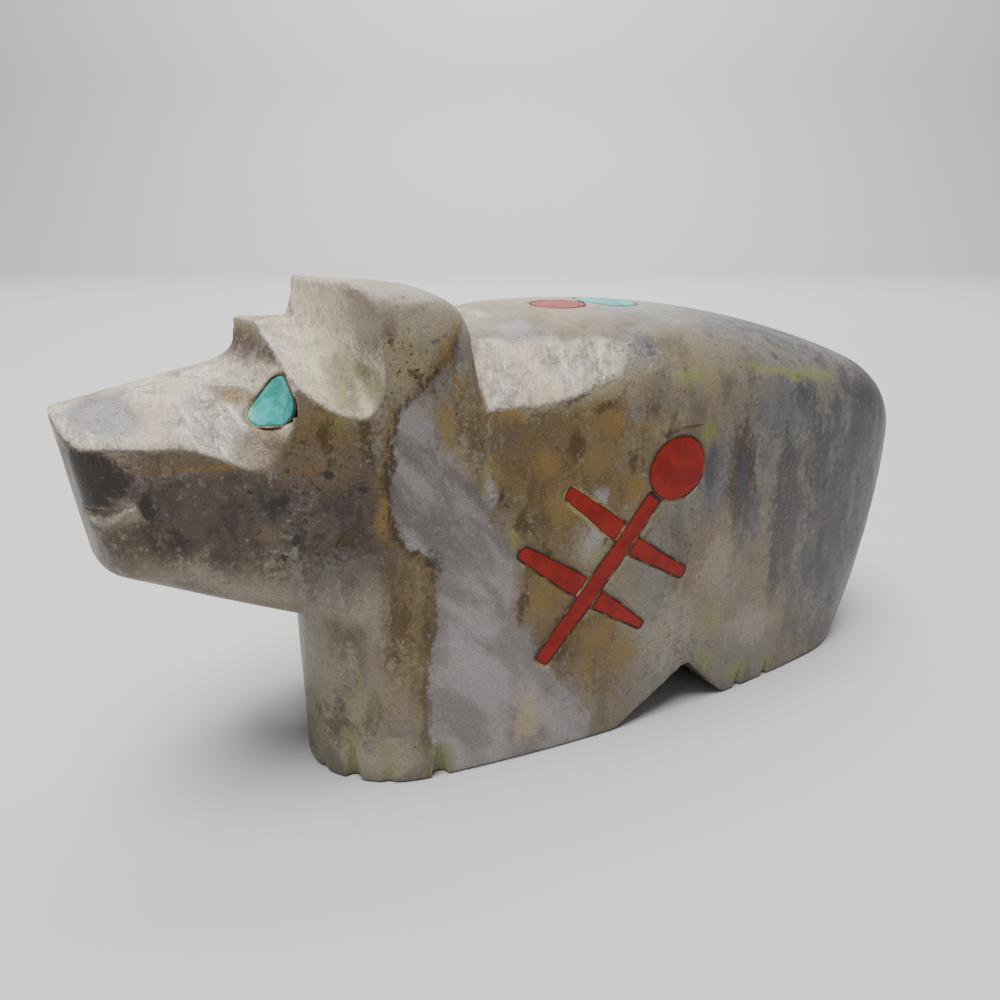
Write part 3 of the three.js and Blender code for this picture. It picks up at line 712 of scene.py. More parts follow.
AREAS = {
    "umber": (
        (8, 22, 8.5, 4.6), (15.5, 22, 4, 6), (11.2, 31, 1.8, 1.7), (17, 19.4, 3, 3), (27.5, 25, 4.5, 5),
        (30, 10, 3, 4), (62, 12, 7, 10), (13, 25, 3, 3), (47, 19, 2, 6), (53, 15, 2, 7),
    ),
    "rust": (
        (31.5, 22.5, 7.5, 7, 15), (30, 13, 3.6, 6, 10), (34, 8, 3, 4.5, 30), (14, 26.5, 2.6, 3, -20),
        (26, 28, 2.6, 3), (44, 14, 2, 5), (18.9, 14, 1.5, 5.5),
    ),
    "olive": (
        (19.3, 31.2, 3, 3.4), (24.2, 25.6, 2.6, 3.8), (15.9, 29.3, 1.2, 2.6, 12), (33, 27.6, 5, 1.6, 8),
        (14.6, 6, 3, 4), (38.6, 24.6, 3, 1.6),
    ),
    "blue": (
        (68, 16, 13, 17), (57, 32.5, 17, 5, -12), (61, 20, 5, 9), (48.6, 16.4, 1.2, 2.6), (44, 20, 1.4, 4),
        (40, 32.6, 3, 1.4), (2.2, 27.8, 2.6, 1.4), (36.5, 30.5, 2.4, 1.2), (52, 25, 4, 3),
    ),
    "pale": (
        (2.6, 22.2, 1.5, 0.8, -8), (32.4, 16.6, 1.9, 1.7, -30), (31, 29, 7, 2.2, 6), (17, 2, 3.6, 1.6),
        (8, 17.2, 6, 1, -20), (40, 7.6, 5.5, 4.5), (13.2, 9.6, 2.4, 3.4), (37, 33.6, 9, 2.6),
        # The patch at station 15.8, turned -33 degrees, is the wheel-cut throat facet: paler partly in its own
        # ground colour, partly as painted light from below.
        (45, 13, 3, 5), (15.8, 14, 4, 2.3, -33), (50, 6, 4, 2.4),
    ),
    "lilac": (
        (2.4, 27.8, 2.8, 1.2), (29.4, 31, 2.4, 1.2), (33, 17.6, 0.9, 1.2, -30), (7.6, 29.6, 1.6, 0.8),
        (33.4, 20.4, 0.6, 0.8), (24.6, 22, 0.6, 1.4),
    ),
    "ochre": (
        (30.4, 14.4, 1.4, 1.6), (32.4, 6.4, 1, 1.6, 10), (36.6, 20.4, 1.4, 1.8),
        (26.6, 27.2, 1.2, 0.8, -20), (30.2, 20.3, 1.6, 2.2, 10), (33, 23.2, 1.3, 1.5), (28.6, 13, 1.5, 2.2),
        (21.8, 31.8, 0.3, 1.8, 15), (23, 29.2, 0.6, 1.2, -20), (22, 26.4, 0.9, 1.5), (33.6, 9.4, 2.4, 1.6),
        (36.4, 7, 1.6, 1.8, 20), (27.4, 33.2, 2.4, 1.3), (33, 33.4, 2.6, 1.2), (9.4, 28.9, 1.3, 0.5, -20),
        (34.5, 25.6, 2.2, 1.2), (10.6, 32.4, 1.2, 0.8), (25.4, 23, 0.6, 1.5), (29, 23.4, 1.2, 1.4),
        (17.6, 20.4, 0.5, 1.6),
    ),
    "green": (
        (41.6, 28.2, 2, 0.7), (52.5, 27.6, 7, 0.55, -8), (17, 30.6, 0.8, 2.2, 12), (42.8, 24.2, 1, 1.2),
        (24.6, 23.4, 0.6, 1.6, -20), (44.6, 4.2, 2.2, 0.9, -45), (48.6, 2, 2.6, 0.9), (21.6, 1.3, 0.5, 1.2),
        (33.4, 15.6, 0.9, 1.1), (26.4, 18.6, 0.5, 1.4), (6.6, 30, 0.8, 0.9), (44.5, 8, 1.2, 1.6, -20),
        (15.4, 28.4, 0.8, 1.6),
    ),
    "slate": (
        (69, 20, 5.5, 10), (60, 13, 3.4, 7), (57, 20, 2.4, 5), (63.5, 25, 3.4, 3), (47.4, 18.6, 0.8, 2.8),
        (52, 21, 1, 3),
    ),
    "brown": (
        (18.3, 12.5, 1.5, 3), (18.8, 32.6, 0.4, 2.4, 5), (20.6, 33.8, 1.4, 0.5), (20, 30, 0.8, 0.6),
        (27.2, 19.2, 1.4, 0.8), (36, 22.6, 0.9, 0.9), (27.4, 13, 0.5, 1.9), (31.4, 24.4, 0.9, 1, 20),
        (16.6, 27, 0.6, 3.2, 10), (30.4, 8.4, 1.3, 0.8), (34.2, 17.6, 0.4, 1.6, -30),
        (33.6, 26.8, 1.6, 0.5, 20), (14.5, 26.2, 0.6, 1.6), (28.8, 16.6, 1.6, 0.5, 30),
        (15.6, 19.4, 1.2, 0.8),
    ),
    "dark": (
        (4.1, 21.8, 0.6, 1.9, 8), (5.2, 20.4, 0.8, 0.6, -20), (21, 28.9, 0.6, 0.5), (20.6, 17.6, 0.5, 0.9),
        (25.6, 21.4, 0.5, 1), (31.5, 27.6, 1.4, 0.35, 20), (11.2, 22.4, 1, 0.6), (17, 25.4, 0.4, 0.4),
    ),
    "black": (
        (0.9, 24.3, 2.3, 2.3), (11.6, 22.6, 0.5, 0.45), (12.2, 19.9, 0.3, 0.45), (11.5, 19.1, 0.3, 0.3),
        (3.9, 22.4, 0.4, 1), (16.6, 23, 0.3, 0.3), (9.4, 23, 0.25, 0.2), (14.2, 24.2, 0.3, 0.3),
    ),
    "tan": (
        (7, 25.3, 5.6, 0.9), (13, 25, 3.2, 1.6), (29.4, 4, 2.2, 3), (31, 32.4, 2.4, 0.8),
        (37, 32.4, 4, 0.7), (10.6, 20.6, 1.1, 0.7), (41, 24, 3, 1.4), (24, 5, 2, 3),
    ),
    "thread": (
        (6.8, 24.8, 4.2, 0.16), (12.6, 24.4, 3.6, 0.1, -4), (4.6, 28.6, 0.7, 0.2, 40),
    ),
    "speckled": (
        (14.5, 21.6, 4, 4.6), (47.6, 18, 1.6, 4), (20, 31.6, 3.2, 4.4), (9.8, 21.4, 1.8, 1.6),
    ),
    "island": (
        (27.8, 3.6, 1.3, 3, 8),
    ),
    "lime": (
        (15.4, 30.6, 1.8, 2.8, 10), (17.2, 28.8, 1.2, 1.6), (6.4, 29.8, 1.4, 1), (13.4, 27, 0.8, 1.2),
    ),
    "hairline": (
        (40.6, 24.6, 1.9, 0.14, 3), (39, 24.3, 0.5, 0.22, 50),
    ),
    "cream": (
        (33, 19, 4.2, 1.7, -39), (32.4, 13.2, 1.1, 1.1), (10.9, 27.3, 1.3, 0.9), (28.3, 7.4, 1, 0.9),
    ),
    "brushed": (
        (19.3, 31.2, 3.2, 4), (25, 26, 2.4, 3), (36, 28, 9, 1.8, 4), (15.8, 14.1, 4.4, 2.6, -33),
    ),
    "worn": (
        (11.4, 25.4, 2.8, 1.6), (2.2, 27.9, 2.8, 1.2), (15.9, 29.4, 1.4, 2.4, 10), (18.3, 32.9, 1.7, 3, 12),
        (17.5, 29.4, 0.8, 2, 15), (31, 31.7, 6.5, 0.6), (40, 29, 4, 1.6), (20, 34.6, 4, 0.8),
        (9.4, 28.9, 1.6, 0.6, -20), (24.6, 31.4, 1, 1.6),
    ),
}


def area_level(station, z, areas):
    """1 in the middle of an area, 0 at its edge and -1 well outside."""
    level = np.full(len(station), -1.0)
    for at, height, long, tall, *turned_by in areas:
        turn = math.radians(sum(turned_by))
        cos, sin = math.cos(turn), math.sin(turn)
        along = (station - at) * cos + (z - height) * sin
        up = (z - height) * cos - (station - at) * sin
        level = np.maximum(level, 1 - np.hypot(along / long, up / tall))
    return level


def stone_colours(points):
    """Level of each colour at each point. The pattern drifts through the block, so the far side differs."""
    through = np.clip((points[:, 1] + 9.0) / 20.0, 0.0, 1.1)
    drift = np.stack([layered(points, 9.0, 60 + n, 2) - 0.5 for n in range(2)], 1)
    wobble = np.stack([layered(points, (1.6, 1.6, 2.4), 70 + n, 3) - 0.5 for n in range(2)], 1)
    station = points[:, 0] + through * (14 * drift[:, 0] - 3.0) + 1.3 * wobble[:, 0]
    z = points[:, 2] + through * 12 * drift[:, 1] + 1.5 * wobble[:, 1]
    levels = {name: area_level(station, z, areas) for name, areas in AREAS.items()}
    calm = points[:, 2] + through * 12 * drift[:, 1] + 0.35 * wobble[:, 1]
    for name in ("thread", "hairline"):
        levels[name] = area_level(station, calm, AREAS[name])
    levels["vein_front"] = np.clip(station - np.interp(z, VEIN_HEIGHTS, VEIN_FRONT), -4, 4)
    levels["vein_rear"] = np.clip(np.interp(z, VEIN_HEIGHTS, VEIN_REAR) - station, -4, 4)
    claw = np.full(len(points), -1.0)
    for at, half, top, radius in claw_places():
        off = np.hypot(points[:, 0] - at, points[:, 1] - half)
        claw = np.maximum(claw, np.where(points[:, 2] < top, 1 - off / (radius + 0.1), -1.0))
    levels["claw"] = claw
    return levels


# Meshes


def linked(name, data):
    """A new object in the scene that shows the given data."""
    item = bpy.data.objects.new(name, data)
    bpy.context.scene.collection.objects.link(item)
    return item


def store(mesh, label, values):
    """Keeps one number per point on the mesh, for its material to read."""
    layer = mesh.attributes.new(label, "FLOAT", "POINT")
    layer.data.foreach_set("value", np.asarray(values, np.float32))


def mesh_object(name, points, triangles, attributes, normals=None):
    """A finished mesh: points are rows of station, y and height in millimetres."""
    mesh = bpy.data.meshes.new(name)
    placed = (points - np.array([MIDDLE, 0.0, 0.0])) * MM
    mesh.vertices.add(len(placed))
    mesh.vertices.foreach_set("co", placed.astype(np.float32).ravel())
    mesh.loops.add(triangles.size)
    mesh.loops.foreach_set("vertex_index", triangles.astype(np.int32).ravel())
    mesh.polygons.add(len(triangles))
    mesh.polygons.foreach_set("loop_start", np.arange(0, triangles.size, 3, dtype=np.int32))
    mesh.update(calc_edges=True)
    mesh.validate()
    mesh.polygons.foreach_set("use_smooth", np.ones(len(triangles), bool))
    for label, values in attributes.items():
        store(mesh, label, values)
    if normals is not None:
        mesh.normals_split_custom_set_from_vertices(normals)
    return linked(name, mesh)


HEAD_END = 27.0
LIZARD_END = 45.0
SLOPE_STEP = 0.09
FOOT_EDGE = 0.3


def carve_stone(fine, coarse):
    """The whole stone as one mesh with its colours and scratches stored on it."""
    axes = (
        spaced(-0.6, fine, HEAD_END, (fine + coarse) / 2, LIZARD_END, coarse, 75.4),
        spaced(-13.6, coarse, 13.6),
        spaced(-0.7, fine, 36.4),
    )
    points, triangles = skin(stone_field, axes)
    normal = normalised(gradient(stone_field, points, SLOPE_STEP))
    above_foot = points[:, 2] > FOOT_EDGE
    quiet = np.clip((inlay_distance(points, RIM_REACH) - 0.1) / 0.8, 0.0, 1.0) * above_foot
    points = points + normal * (np.minimum(relief(points), 0.0) * quiet)[:, None]
    wave = gradient(relief, points, SLOPE_STEP) * quiet[:, None]
    normals = normalised(normal - (wave - normal * np.sum(wave * normal, 1, keepdims=True)))
    ground, across = wheel_marks(points)
    attributes = {"ground": ground, "across": across, "rim": inlay_distance(points, RIM_REACH)}
    attributes.update(stone_colours(points))
    return mesh_object("carved_stone", points, triangles, attributes, normals)


INLAY_EDGE = 0.13
SEARCH_REACH = 3.0
SEARCH_ROUNDS = 22


def on_surface(flat, plane, lift):
    """Places on the carved surface above points of an inlay's plane, lifted outwards a little."""
    origin, right, up, out = PLANES[plane]
    start = origin + flat[:, :1] * right + flat[:, 1:] * up
    low, high = np.full(len(flat), -SEARCH_REACH), np.full(len(flat), SEARCH_REACH)
    for _ in range(SEARCH_ROUNDS):
        middle = (low + high) / 2
        inside = carved(start + middle[:, None] * out) < 0
        low, high = np.where(inside, middle, low), np.where(inside, high, middle)
    return start + (low + lift)[:, None] * out


def inlay_piece(name, plane, outline, proud):
    """One inlay: its top follows the carved surface, with a small rounded rim, and it sits in its pocket."""
    centre = outline.mean(0)
    count = len(outline)
    rings, lifts = [], []
    inner = offset_outline(outline, -INLAY_EDGE)
    for share in np.linspace(0.12, 1.0, 9):
        rings.append(centre + (inner - centre) * share)
        lifts.append(proud * (1 - 0.75 * share**2))
    for shrink, drop in ((-0.07, 0.012), (-0.02, 0.045), (0.0, 0.11), (0.0, 1.0)):
        rings.append(offset_outline(outline, shrink))
        lifts.append(0.25 * proud - drop)
    flat = np.concatenate([centre[None]] + rings + [centre[None]])
    lift = np.concatenate([[proud]] + [np.full(count, value) for value in lifts] + [[lifts[-1]]])
    points = on_surface(flat, plane, lift)
    last = len(points) - 1
    step = np.arange(count)
    following = (step + 1) % count
    triangles = [columns(np.zeros(count, int), 1 + step, 1 + following)]
    for ring in range(len(rings) - 1):
        a, b = 1 + ring * count + step, 1 + ring * count + following
        c, d = a + count, b + count
        triangles += [columns(a, c, d), columns(a, d, b)]
    base = 1 + (len(rings) - 1) * count
    triangles.append(columns(base + step, np.full(count, last), base + following))
    triangles = np.concatenate(triangles)
    _, right, up, out = PLANES[plane]
    if np.dot(np.cross(right, up), out) < 0:
        triangles = triangles[:, ::-1]
    edge = np.clip(-outline_distance(flat, outline), 0.0, 2.0)
    return mesh_object(name, points, triangles, {"edge": edge})


# Node trees


class Tree:
    """Short ways to build a node tree."""

    def __init__(self, tree):
        self.tree = tree

    def node(self, kind, settings=None, **inputs):
        node = self.tree.nodes.new(kind)
        for label, value in (settings or {}).items():
            setattr(node, label, value)
        for label, value in inputs.items():
            self.feed(node.inputs[label.replace("_", " ")], value)
        return node

    def feed(self, socket, value):
        if isinstance(value, bpy.types.NodeSocket):
            self.tree.links.new(value, socket)
        else:
            socket.default_value = value

    def math(self, operation, a, b=0.0, c=0.0):
        node = self.tree.nodes.new("ShaderNodeMath")
        node.operation = operation
        for socket, value in zip(node.inputs, (a, b, c)):
            self.feed(socket, value)
        return node.outputs[0]

    def ramp(self, value, low, high, to_low=0.0, to_high=1.0):
        node = self.tree.nodes.new("ShaderNodeMapRange")
        node.interpolation_type = "SMOOTHSTEP"
        for socket, part in zip(node.inputs, (value, low, high, to_low, to_high)):
            self.feed(socket, part)
        return node.outputs[0]

    def plus(self, value, by, amount):
        return self.math("MULTIPLY_ADD", by, amount, value)

    def times(self, first, *others):
        for other in others:
            first = self.math("MULTIPLY", first, other)
        return first

    def added(self, value, by, amount):
        """A value with a noise laid on it, whose mean is left out."""
        return self.plus(value, self.math("SUBTRACT", by, 0.5), amount)

    def mix(self, share, a, b, blend="MIX"):
        node = self.tree.nodes.new("ShaderNodeMix")
        node.data_type = "RGBA"
        node.blend_type = blend
        self.feed(node.inputs[0], share)
        self.feed(node.inputs[6], a)
        self.feed(node.inputs[7], b)
        return node.outputs[2]

    def attribute(self, name):
        node = self.tree.nodes.new("ShaderNodeAttribute")
        node.attribute_name = name
        return node.outputs["Fac"]

    def noise(self, vector, scale, detail=3.0, roughness=0.55, distortion=0.0):
        node = self.node(
            "ShaderNodeTexNoise", Vector=vector, Scale=scale, Detail=detail, Roughness=roughness,
            Distortion=distortion,
        )
        return node.outputs["Fac"]

    def stretched(self, vector, scale):
        return self.node("ShaderNodeMapping", Vector=vector, Scale=scale).outputs[0]

    def moved(self, vector, by, amount):
        """A vector moved along another one."""
        scaled = self.node("ShaderNodeVectorMath", {"operation": "SCALE"}, Vector=by, Scale=amount)
        total = self.node("ShaderNodeVectorMath", {"operation": "ADD"}, Vector=vector)
        self.feed(total.inputs[1], scaled.outputs[0])
        return total.outputs[0]


def colour(code):
    """A linear colour from a hex code."""
    parts = [int(code[n:n + 2], 16) / 255 for n in (0, 2, 4)]
    return tuple(p / 12.92 if p <= 0.04045 else ((p + 0.055) / 1.055) ** 2.4 for p in parts) + (1.0,)


def new_material(name):
    material = bpy.data.materials.new(name)
    material.use_nodes = True
    material.node_tree.nodes.clear()
    return material, Tree(material.node_tree)


def finish_material(tree, **inputs):
    shader = tree.node("ShaderNodeBsdfPrincipled", **inputs)
    output = tree.node("ShaderNodeOutputMaterial")
    tree.tree.links.new(shader.outputs[0], output.inputs["Surface"])


def millimetres(tree):
    place = tree.tree.nodes.new("ShaderNodeTexCoord")
    return tree.stretched(place.outputs["Object"], (1000.0, 1000.0, 1000.0))


# Colours of the stone. The pale b0a593 and bluish a2a4a8 laid over the top faces are painted sheen of light
# from above; 8d8477 is the ground faces' own dust.
STONE_COLOURS = {
    "warm": "7a6d56", "cool": "6c6863", "streak": "554c40", "umber": "463c35", "umber_dark": "332b26",
    "rust": "675430", "rust_dark": "483a20", "blue": "5d5b5e", "blue_dark": "424145", "pale": "8d8575",
    "lavender_pale": "8f8785", "lavender_dark": "544d4a",
    "ochre": "755e31", "orange": "80602c", "seam": "36260f", "green": "767848", "dark": "2b2623",
    "speck": "241f1a", "dust_and_top_sheen": "8d8477", "chalk": "ddd2c3", "hair": "a59e97", "glue": "8a7d54",
    "soot": "1c1814", "band": "60502f", "olive": "7f7658", "brown": "443519", "lilac": "8a8588",
    "slate": "414044", "tan": "61523f", "thread": "6f5528", "top_sheen": "b0a593", "lime": "b4b38c",
    "sheen_over_blue": "a2a4a8", "filler": "94855c", "island": "9c8d72", "sand": "c4b197", "mauve": "bdb4b4",
}
STONE_COLOURS = {name: colour(code) for name, code in STONE_COLOURS.items()}

# Coats of colour in the order they are laid: area, colour, how ragged the edge is or which noise flecks it,
# the level where it starts, the level where it is full, and how far it covers
COATS = {
    "under the vein": (
        ("olive", "olive", 2.0, -0.3, 0.6, 0.8), ("olive", "umber", "middle", 0.45, 0.6, 0.75),
        ("umber", "umber", 2.0, -0.35, 0.5, 0.9), ("umber", "umber_dark", "middle", 0.48, 0.66, 0.8),
        ("rust", "rust", 2.2, -0.4, 0.5, 0.85), ("rust", "rust_dark", "middle", 0.48, 0.62, 0.75),
        ("blue", "blue", 2.0, -0.4, 0.6, 0.9), ("blue", "blue_dark", "smoke", 0.42, 0.62, 0.9),
        ("slate", "slate", 2.0, -0.3, 0.7, 0.9), ("pale", "pale", 2.2, -0.2, 0.8, 0.75),
        ("lilac", "lilac", 2.2, -0.2, 0.6, 0.85), ("tan", "tan", 1.8, -0.3, 0.5, 0.8),
    ),
    "over the vein": (
        ("island", "island", 1.8, -0.2, 0.6, 0.8), ("ochre", "ochre", 2.6, -0.4, 0.9, 0.8),
        ("ochre", "orange", 2.8, 0.3, 1.5, 0.5),
    ),
    "over the ochre": (
        ("thread", "thread", 1.0, -0.4, 0.8, 0.8), ("green", "green", 1.8, -0.3, 0.8, 0.7),
        ("claw", "green", 0.8, -0.3, 0.6, 0.6), ("brown", "brown", 2.0, -0.1, 0.7, 0.88),
    ),
    "darkest": (
        ("speckled", "speck", "fine", 0.55, 0.63, 0.8), ("hairline", "speck", 0.8, -0.3, 0.4, 0.85),
        ("black", "dark", 0.9, -0.25, 0.3, 0.94),
    ),
    # Painted sheen on the top faces, bluish over the blue patches.
    "dust_and_top_sheen": (("blue", "sheen_over_blue", 1.6, -0.4, 0.5, 1.0),),
    "ground": (("lime", "lime", 2.0, -0.3, 0.8, 0.5),),
}


def stone_material(plain, vein_colour):
    material, tree = new_material("mottled_stone")
    noise, ramp, plus, added, times = tree.noise, tree.ramp, tree.plus, tree.added, tree.times
    place = millimetres(tree)
    upright = tree.stretched(place, (1.0, 1.0, 0.55))
    broad = noise(upright, 0.2, 3.0, 0.6)
    middle = noise(upright, 0.65, 6.0, 0.62, 0.7)
    fine = noise(place, 2.4, 5.0, 0.66, 0.3)
    grit = noise(place, 8.0, 3.0, 0.65)
    streak = noise(tree.stretched(place, (1.5, 1.5, 0.26)), 0.8, 5.0, 0.62, 0.5)
    smoke = noise(tree.stretched(place, (1.0, 1.0, 0.32)), 0.42, 4.0, 0.55, 0.3)
    ragged = added(tree.math("SUBTRACT", middle, 0.5), fine, 1.1)
    height_up = tree.node("ShaderNodeSeparateXYZ", Vector=place).outputs["Z"]
    flecks = {"middle": middle, "smoke": smoke, "fine": fine}

    def cover(shade, amount, name):
        return tree.mix(amount, shade, STONE_COLOURS[name])

    def share(area, edge, low, high, strength=1.0):
        return ramp(plus(tree.attribute(area), ragged, edge), low, high, 0.0, strength)

    def coated(shade, coats):
        for area, name, edge, low, high, strength in COATS[coats]:
            if edge in flecks:
                amount = times(share(area, 1.2, -0.1, 0.5), ramp(flecks[edge], low, high, 0.0, strength))
            else:
                amount = share(area, edge, low, high, strength)
            shade = cover(shade, amount, name)
        return shade

    shade = cover(plain, ramp(middle, 0.36, 0.64), "warm")
    shade = cover(shade, ramp(broad, 0.42, 0.6, 0.0, 0.8), "cool")
    shade = cover(shade, ramp(smoke, 0.48, 0.66, 0.0, 0.7), "streak")
    shade = coated(shade, "under the vein")

    front = plus(tree.attribute("vein_front"), ragged, 1.5)
    rear = plus(tree.attribute("vein_rear"), ragged, 3.2)
    turned = tree.node("ShaderNodeMapping", Vector=place, Rotation=(0.0, 0.6, 0.0)).outputs[0]
    soft = noise(tree.stretched(turned, (1.0, 1.0, 0.36)), 0.5, 5.0, 0.5, 0.3)
    cloud = cover(vein_colour, ramp(soft, 0.38, 0.62), "lavender_pale")
    cloud = cover(cloud, ramp(smoke, 0.5, 0.68, 0.0, 0.2), "lavender_dark")
    shadow = times(ramp(height_up, 10.0, 26.0, 0.0, 0.95), ramp(soft, 0.4, 0.58, 1.0, 0.45))
    cloud = cover(cloud, shadow, "lavender_dark")
    cloud = cover(cloud, ramp(fine, 0.5, 0.7, 0.0, 0.35), "lavender_pale")
    vein = times(ramp(front, -0.1, 0.3), ramp(rear, -0.4, 0.8))
    shade = tree.mix(vein, shade, cloud)
    in_vein = ramp(rear, 0.0, 0.4)
    band = times(ramp(front, -1.5, -0.3), ramp(front, 0.0, 0.3, 1.0, 0.0), in_vein)
    band = times(band, ramp(height_up, 2.0, 9.0, 0.15, 1.0), ramp(broad, 0.36, 0.54, 0.2, 0.85))
    shade = cover(shade, band, "band")
    line = times(ramp(tree.math("ABSOLUTE", front), 0.08, 0.6, 1.0, 0.0), in_vein)
    line = times(line, ramp(streak, 0.4, 0.56, 0.2, 0.9), ramp(height_up, 8.0, 20.0, 0.6, 1.0))
    shade = cover(shade, line, "seam")

    shade = coated(shade, "over the vein")
    ochre_edge = tree.math("ABSOLUTE", plus(tree.attribute("ochre"), ragged, 2.4))
    shade = cover(shade, times(ramp(ochre_edge, 0.02, 0.2, 0.4, 0.0), ramp(streak, 0.46, 0.6)), "seam")
    shade = coated(shade, "over the ochre")
    broken = ramp(plus(middle, fine, 0.9), 0.82, 1.06, 0.35, 1.0)
    shade = cover(shade, times(share("dark", 2.6, -0.2, 0.8, 0.85), broken), "dark")
    shade = coated(shade, "darkest")

    wander = tree.node("ShaderNodeTexNoise", Vector=place, Scale=0.5, Detail=4.0, Roughness=0.6)
    bent = tree.moved(upright, wander.outputs["Color"], 3.4)
    cracks = tree.node("ShaderNodeTexVoronoi", {"feature": "DISTANCE_TO_EDGE"}, Vector=bent, Scale=0.3)
    outside_vein = plus(0.85, vein, -0.8)
    here = times(outside_vein, ramp(broad, 0.46, 0.58), ramp(fine, 0.42, 0.58, 0.1, 0.6))
    shade = cover(shade, times(ramp(cracks.outputs["Distance"], 0.004, 0.03, 1.0, 0.0), here), "seam")

    specks = ramp(noise(place, 4.2, 4.0, 0.7, 0.2), 0.6, 0.69)
    shade = cover(shade, times(specks, ramp(middle, 0.44, 0.58, 0.15, 0.95), outside_vein), "speck")
    shade = cover(shade, times(ramp(fine, 0.57, 0.72, 0.0, 0.6), outside_vein), "umber_dark")
    shade = cover(shade, ramp(fine, 0.28, 0.42, 0.35, 0.0), "pale")
    hairs = ramp(noise(tree.stretched(place, (11.0, 11.0, 2.6)), 1.0, 4.0, 0.7, 1.2), 0.46, 0.72)
    brushed = times(share("brushed", 2.6, -0.2, 0.9, 0.6), ramp(streak, 0.42, 0.62))
    shade = cover(shade, times(hairs, brushed), "hair")
    # Painted sheen: faces from about 31 mm upwards are lightened up to 40 percent towards a pale colour,
    # bluish over the blue patches, as if lit from above.
    dust_and_top_sheen = ramp(added(height_up, smoke, 3.0), 31.2, 33.6, 0.0, 0.4)
    shade = tree.mix(dust_and_top_sheen, shade, coated(STONE_COLOURS["top_sheen"], "dust_and_top_sheen"))
    grain = ramp(grit, 0.25, 0.75, 0.78, 1.22)
    grain = tree.node("ShaderNodeCombineColor", Red=grain, Green=grain, Blue=grain).outputs[0]
    shade = tree.mix(1.0, shade, grain, "MULTIPLY")

    fresh = tree.attribute("ground")
    fresh = tree.math("SUBTRACT", fresh, times(share("worn", 1.6, -0.3, 0.6, 0.72), fresh))
    ground = ramp(plus(fresh, ragged, 0.9), 0.1, 0.75)

    def scratches(lean, scale, detail, drift):
        """Broken parallel lines across the ground faces."""
        leaning = tree.node("ShaderNodeVectorMath", {"operation": "DOT_PRODUCT"}, Vector=place)
        leaning.inputs[1].default_value = lean
        row = tree.math("ADD", tree.attribute("across"), leaning.outputs["Value"])
        row = tree.node("ShaderNodeCombineXYZ", X=row, Y=0.0, Z=0.0).outputs[0]
        return noise(tree.moved(row, place, drift), scale, detail, 0.7)

    first = scratches((0.0, 0.0, 0.0), 3.2, 4.0, 0.13)
    second = scratches((0.14, 0.0, -0.35), 6.5, 3.0, 0.08)
    marks = tree.math("MAXIMUM", ramp(first, 0.5, 0.66), ramp(second, 0.54, 0.7, 0.0, 0.85))
    marks = times(marks, ramp(fine, 0.32, 0.6, 0.3, 1.0), ramp(smoke, 0.4, 0.58, 0.55, 1.0))
    chalk = plus(0.42, marks, 0.68)
    for uneven, amount in ((grit, 1.2), (fine, 1.5), (middle, 1.8), (broad, 1.2)):
        chalk = added(chalk, uneven, amount)
    chalk = times(tree.math("MAXIMUM", chalk, 0.0), ramp(fresh, 0.3, 0.95, 0.3, 1.0))
    powder = cover(STONE_COLOURS["chalk"], ramp(broad, 0.4, 0.6, 0.0, 0.8), "sand")
    powder = cover(powder, ramp(smoke, 0.5, 0.66, 0.0, 0.8), "mauve")
    dusty = coated(tree.mix(chalk, cover(shade, 0.4, "dust_and_top_sheen"), powder), "ground")
    dusty = cover(dusty, ramp(fine, 0.6, 0.72, 0.0, 0.55), "streak")
    shade = tree.mix(ground, shade, dusty)

    rim = tree.attribute("rim")
    cream = share("cream", 1.2, -0.2, 0.5)
    near = ramp(plus(added(rim, fine, 1.0), cream, -0.12), 0.08, 0.22, 1.0, 0.0)
    patch = tree.math("MAXIMUM", cream, ramp(noise(place, 0.7, 3.0, 0.6), 0.5, 0.64, 0.1, 0.7))
    shade = cover(shade, times(near, patch), "glue")
    shade = cover(shade, ramp(rim, 0.06, 0.14, 0.85, 0.0), "soot")

    polish = ramp(middle, 0.3, 0.7, 0.34, 0.46)
    rough = added(plus(polish, ground, tree.math("SUBTRACT", 0.72, polish)), grit, 0.16)
    height = plus(times(tree.math("ADD", first, second), ground), fine, 0.3)
    height = plus(height, grit, 0.15)
    bump = tree.node("ShaderNodeBump", Strength=0.7, Distance=0.00014, Height=height)
    finish_material(tree, Base_Color=shade, Roughness=rough, Normal=bump.outputs[0], Specular_IOR_Level=0.3)
    return material


# Each inlay stone: colours of its clouds, grain and rim, size and range of its clouds, size and range of its
# grain, range of its rim, range of its polish, strength of its grain and its shine
INLAY_STONES = {
    "turquoise": (
        ("2b8074", "62c4bf", "2b5f50"), 0.9, (0.38, 0.62), 5.0, (0.6, 0.78, 0.0, 0.5),
        (0.0, 0.2, 0.35, 0.0), (0.24, 0.38), 0.35, 0.3,
    ),
    "coral": (
        ("761508", "a23425", "4a1510"), 0.7, (0.35, 0.65), 6.0, (0.62, 0.8, 0.0, 0.45),
        (0.0, 0.12, 0.5, 0.0), (0.3, 0.42), 0.3, 0.2,
    ),
}


def inlay_material(name, body, codes, clouds, cloudy, grains, grainy, rim, polish, relief_strength, shine):
    material, tree = new_material(name)
    place = millimetres(tree)
    dark, pale, edge = (colour(code) for code in codes)
    fine = tree.noise(place, grains, 4.0, 0.6)
    shade = tree.mix(tree.ramp(tree.noise(place, clouds, 4.0, 0.6), *cloudy), dark, body)
    shade = tree.mix(tree.ramp(fine, *grainy), shade, pale)
    shade = tree.mix(tree.ramp(tree.attribute("edge"), *rim), shade, edge)
    bump = tree.node("ShaderNodeBump", Strength=relief_strength, Distance=0.00004, Height=fine)
    rough = tree.ramp(fine, 0.3, 0.7, *polish)
    finish_material(tree, Base_Color=shade, Roughness=rough, Normal=bump.outputs[0], Specular_IOR_Level=shine)
    return material


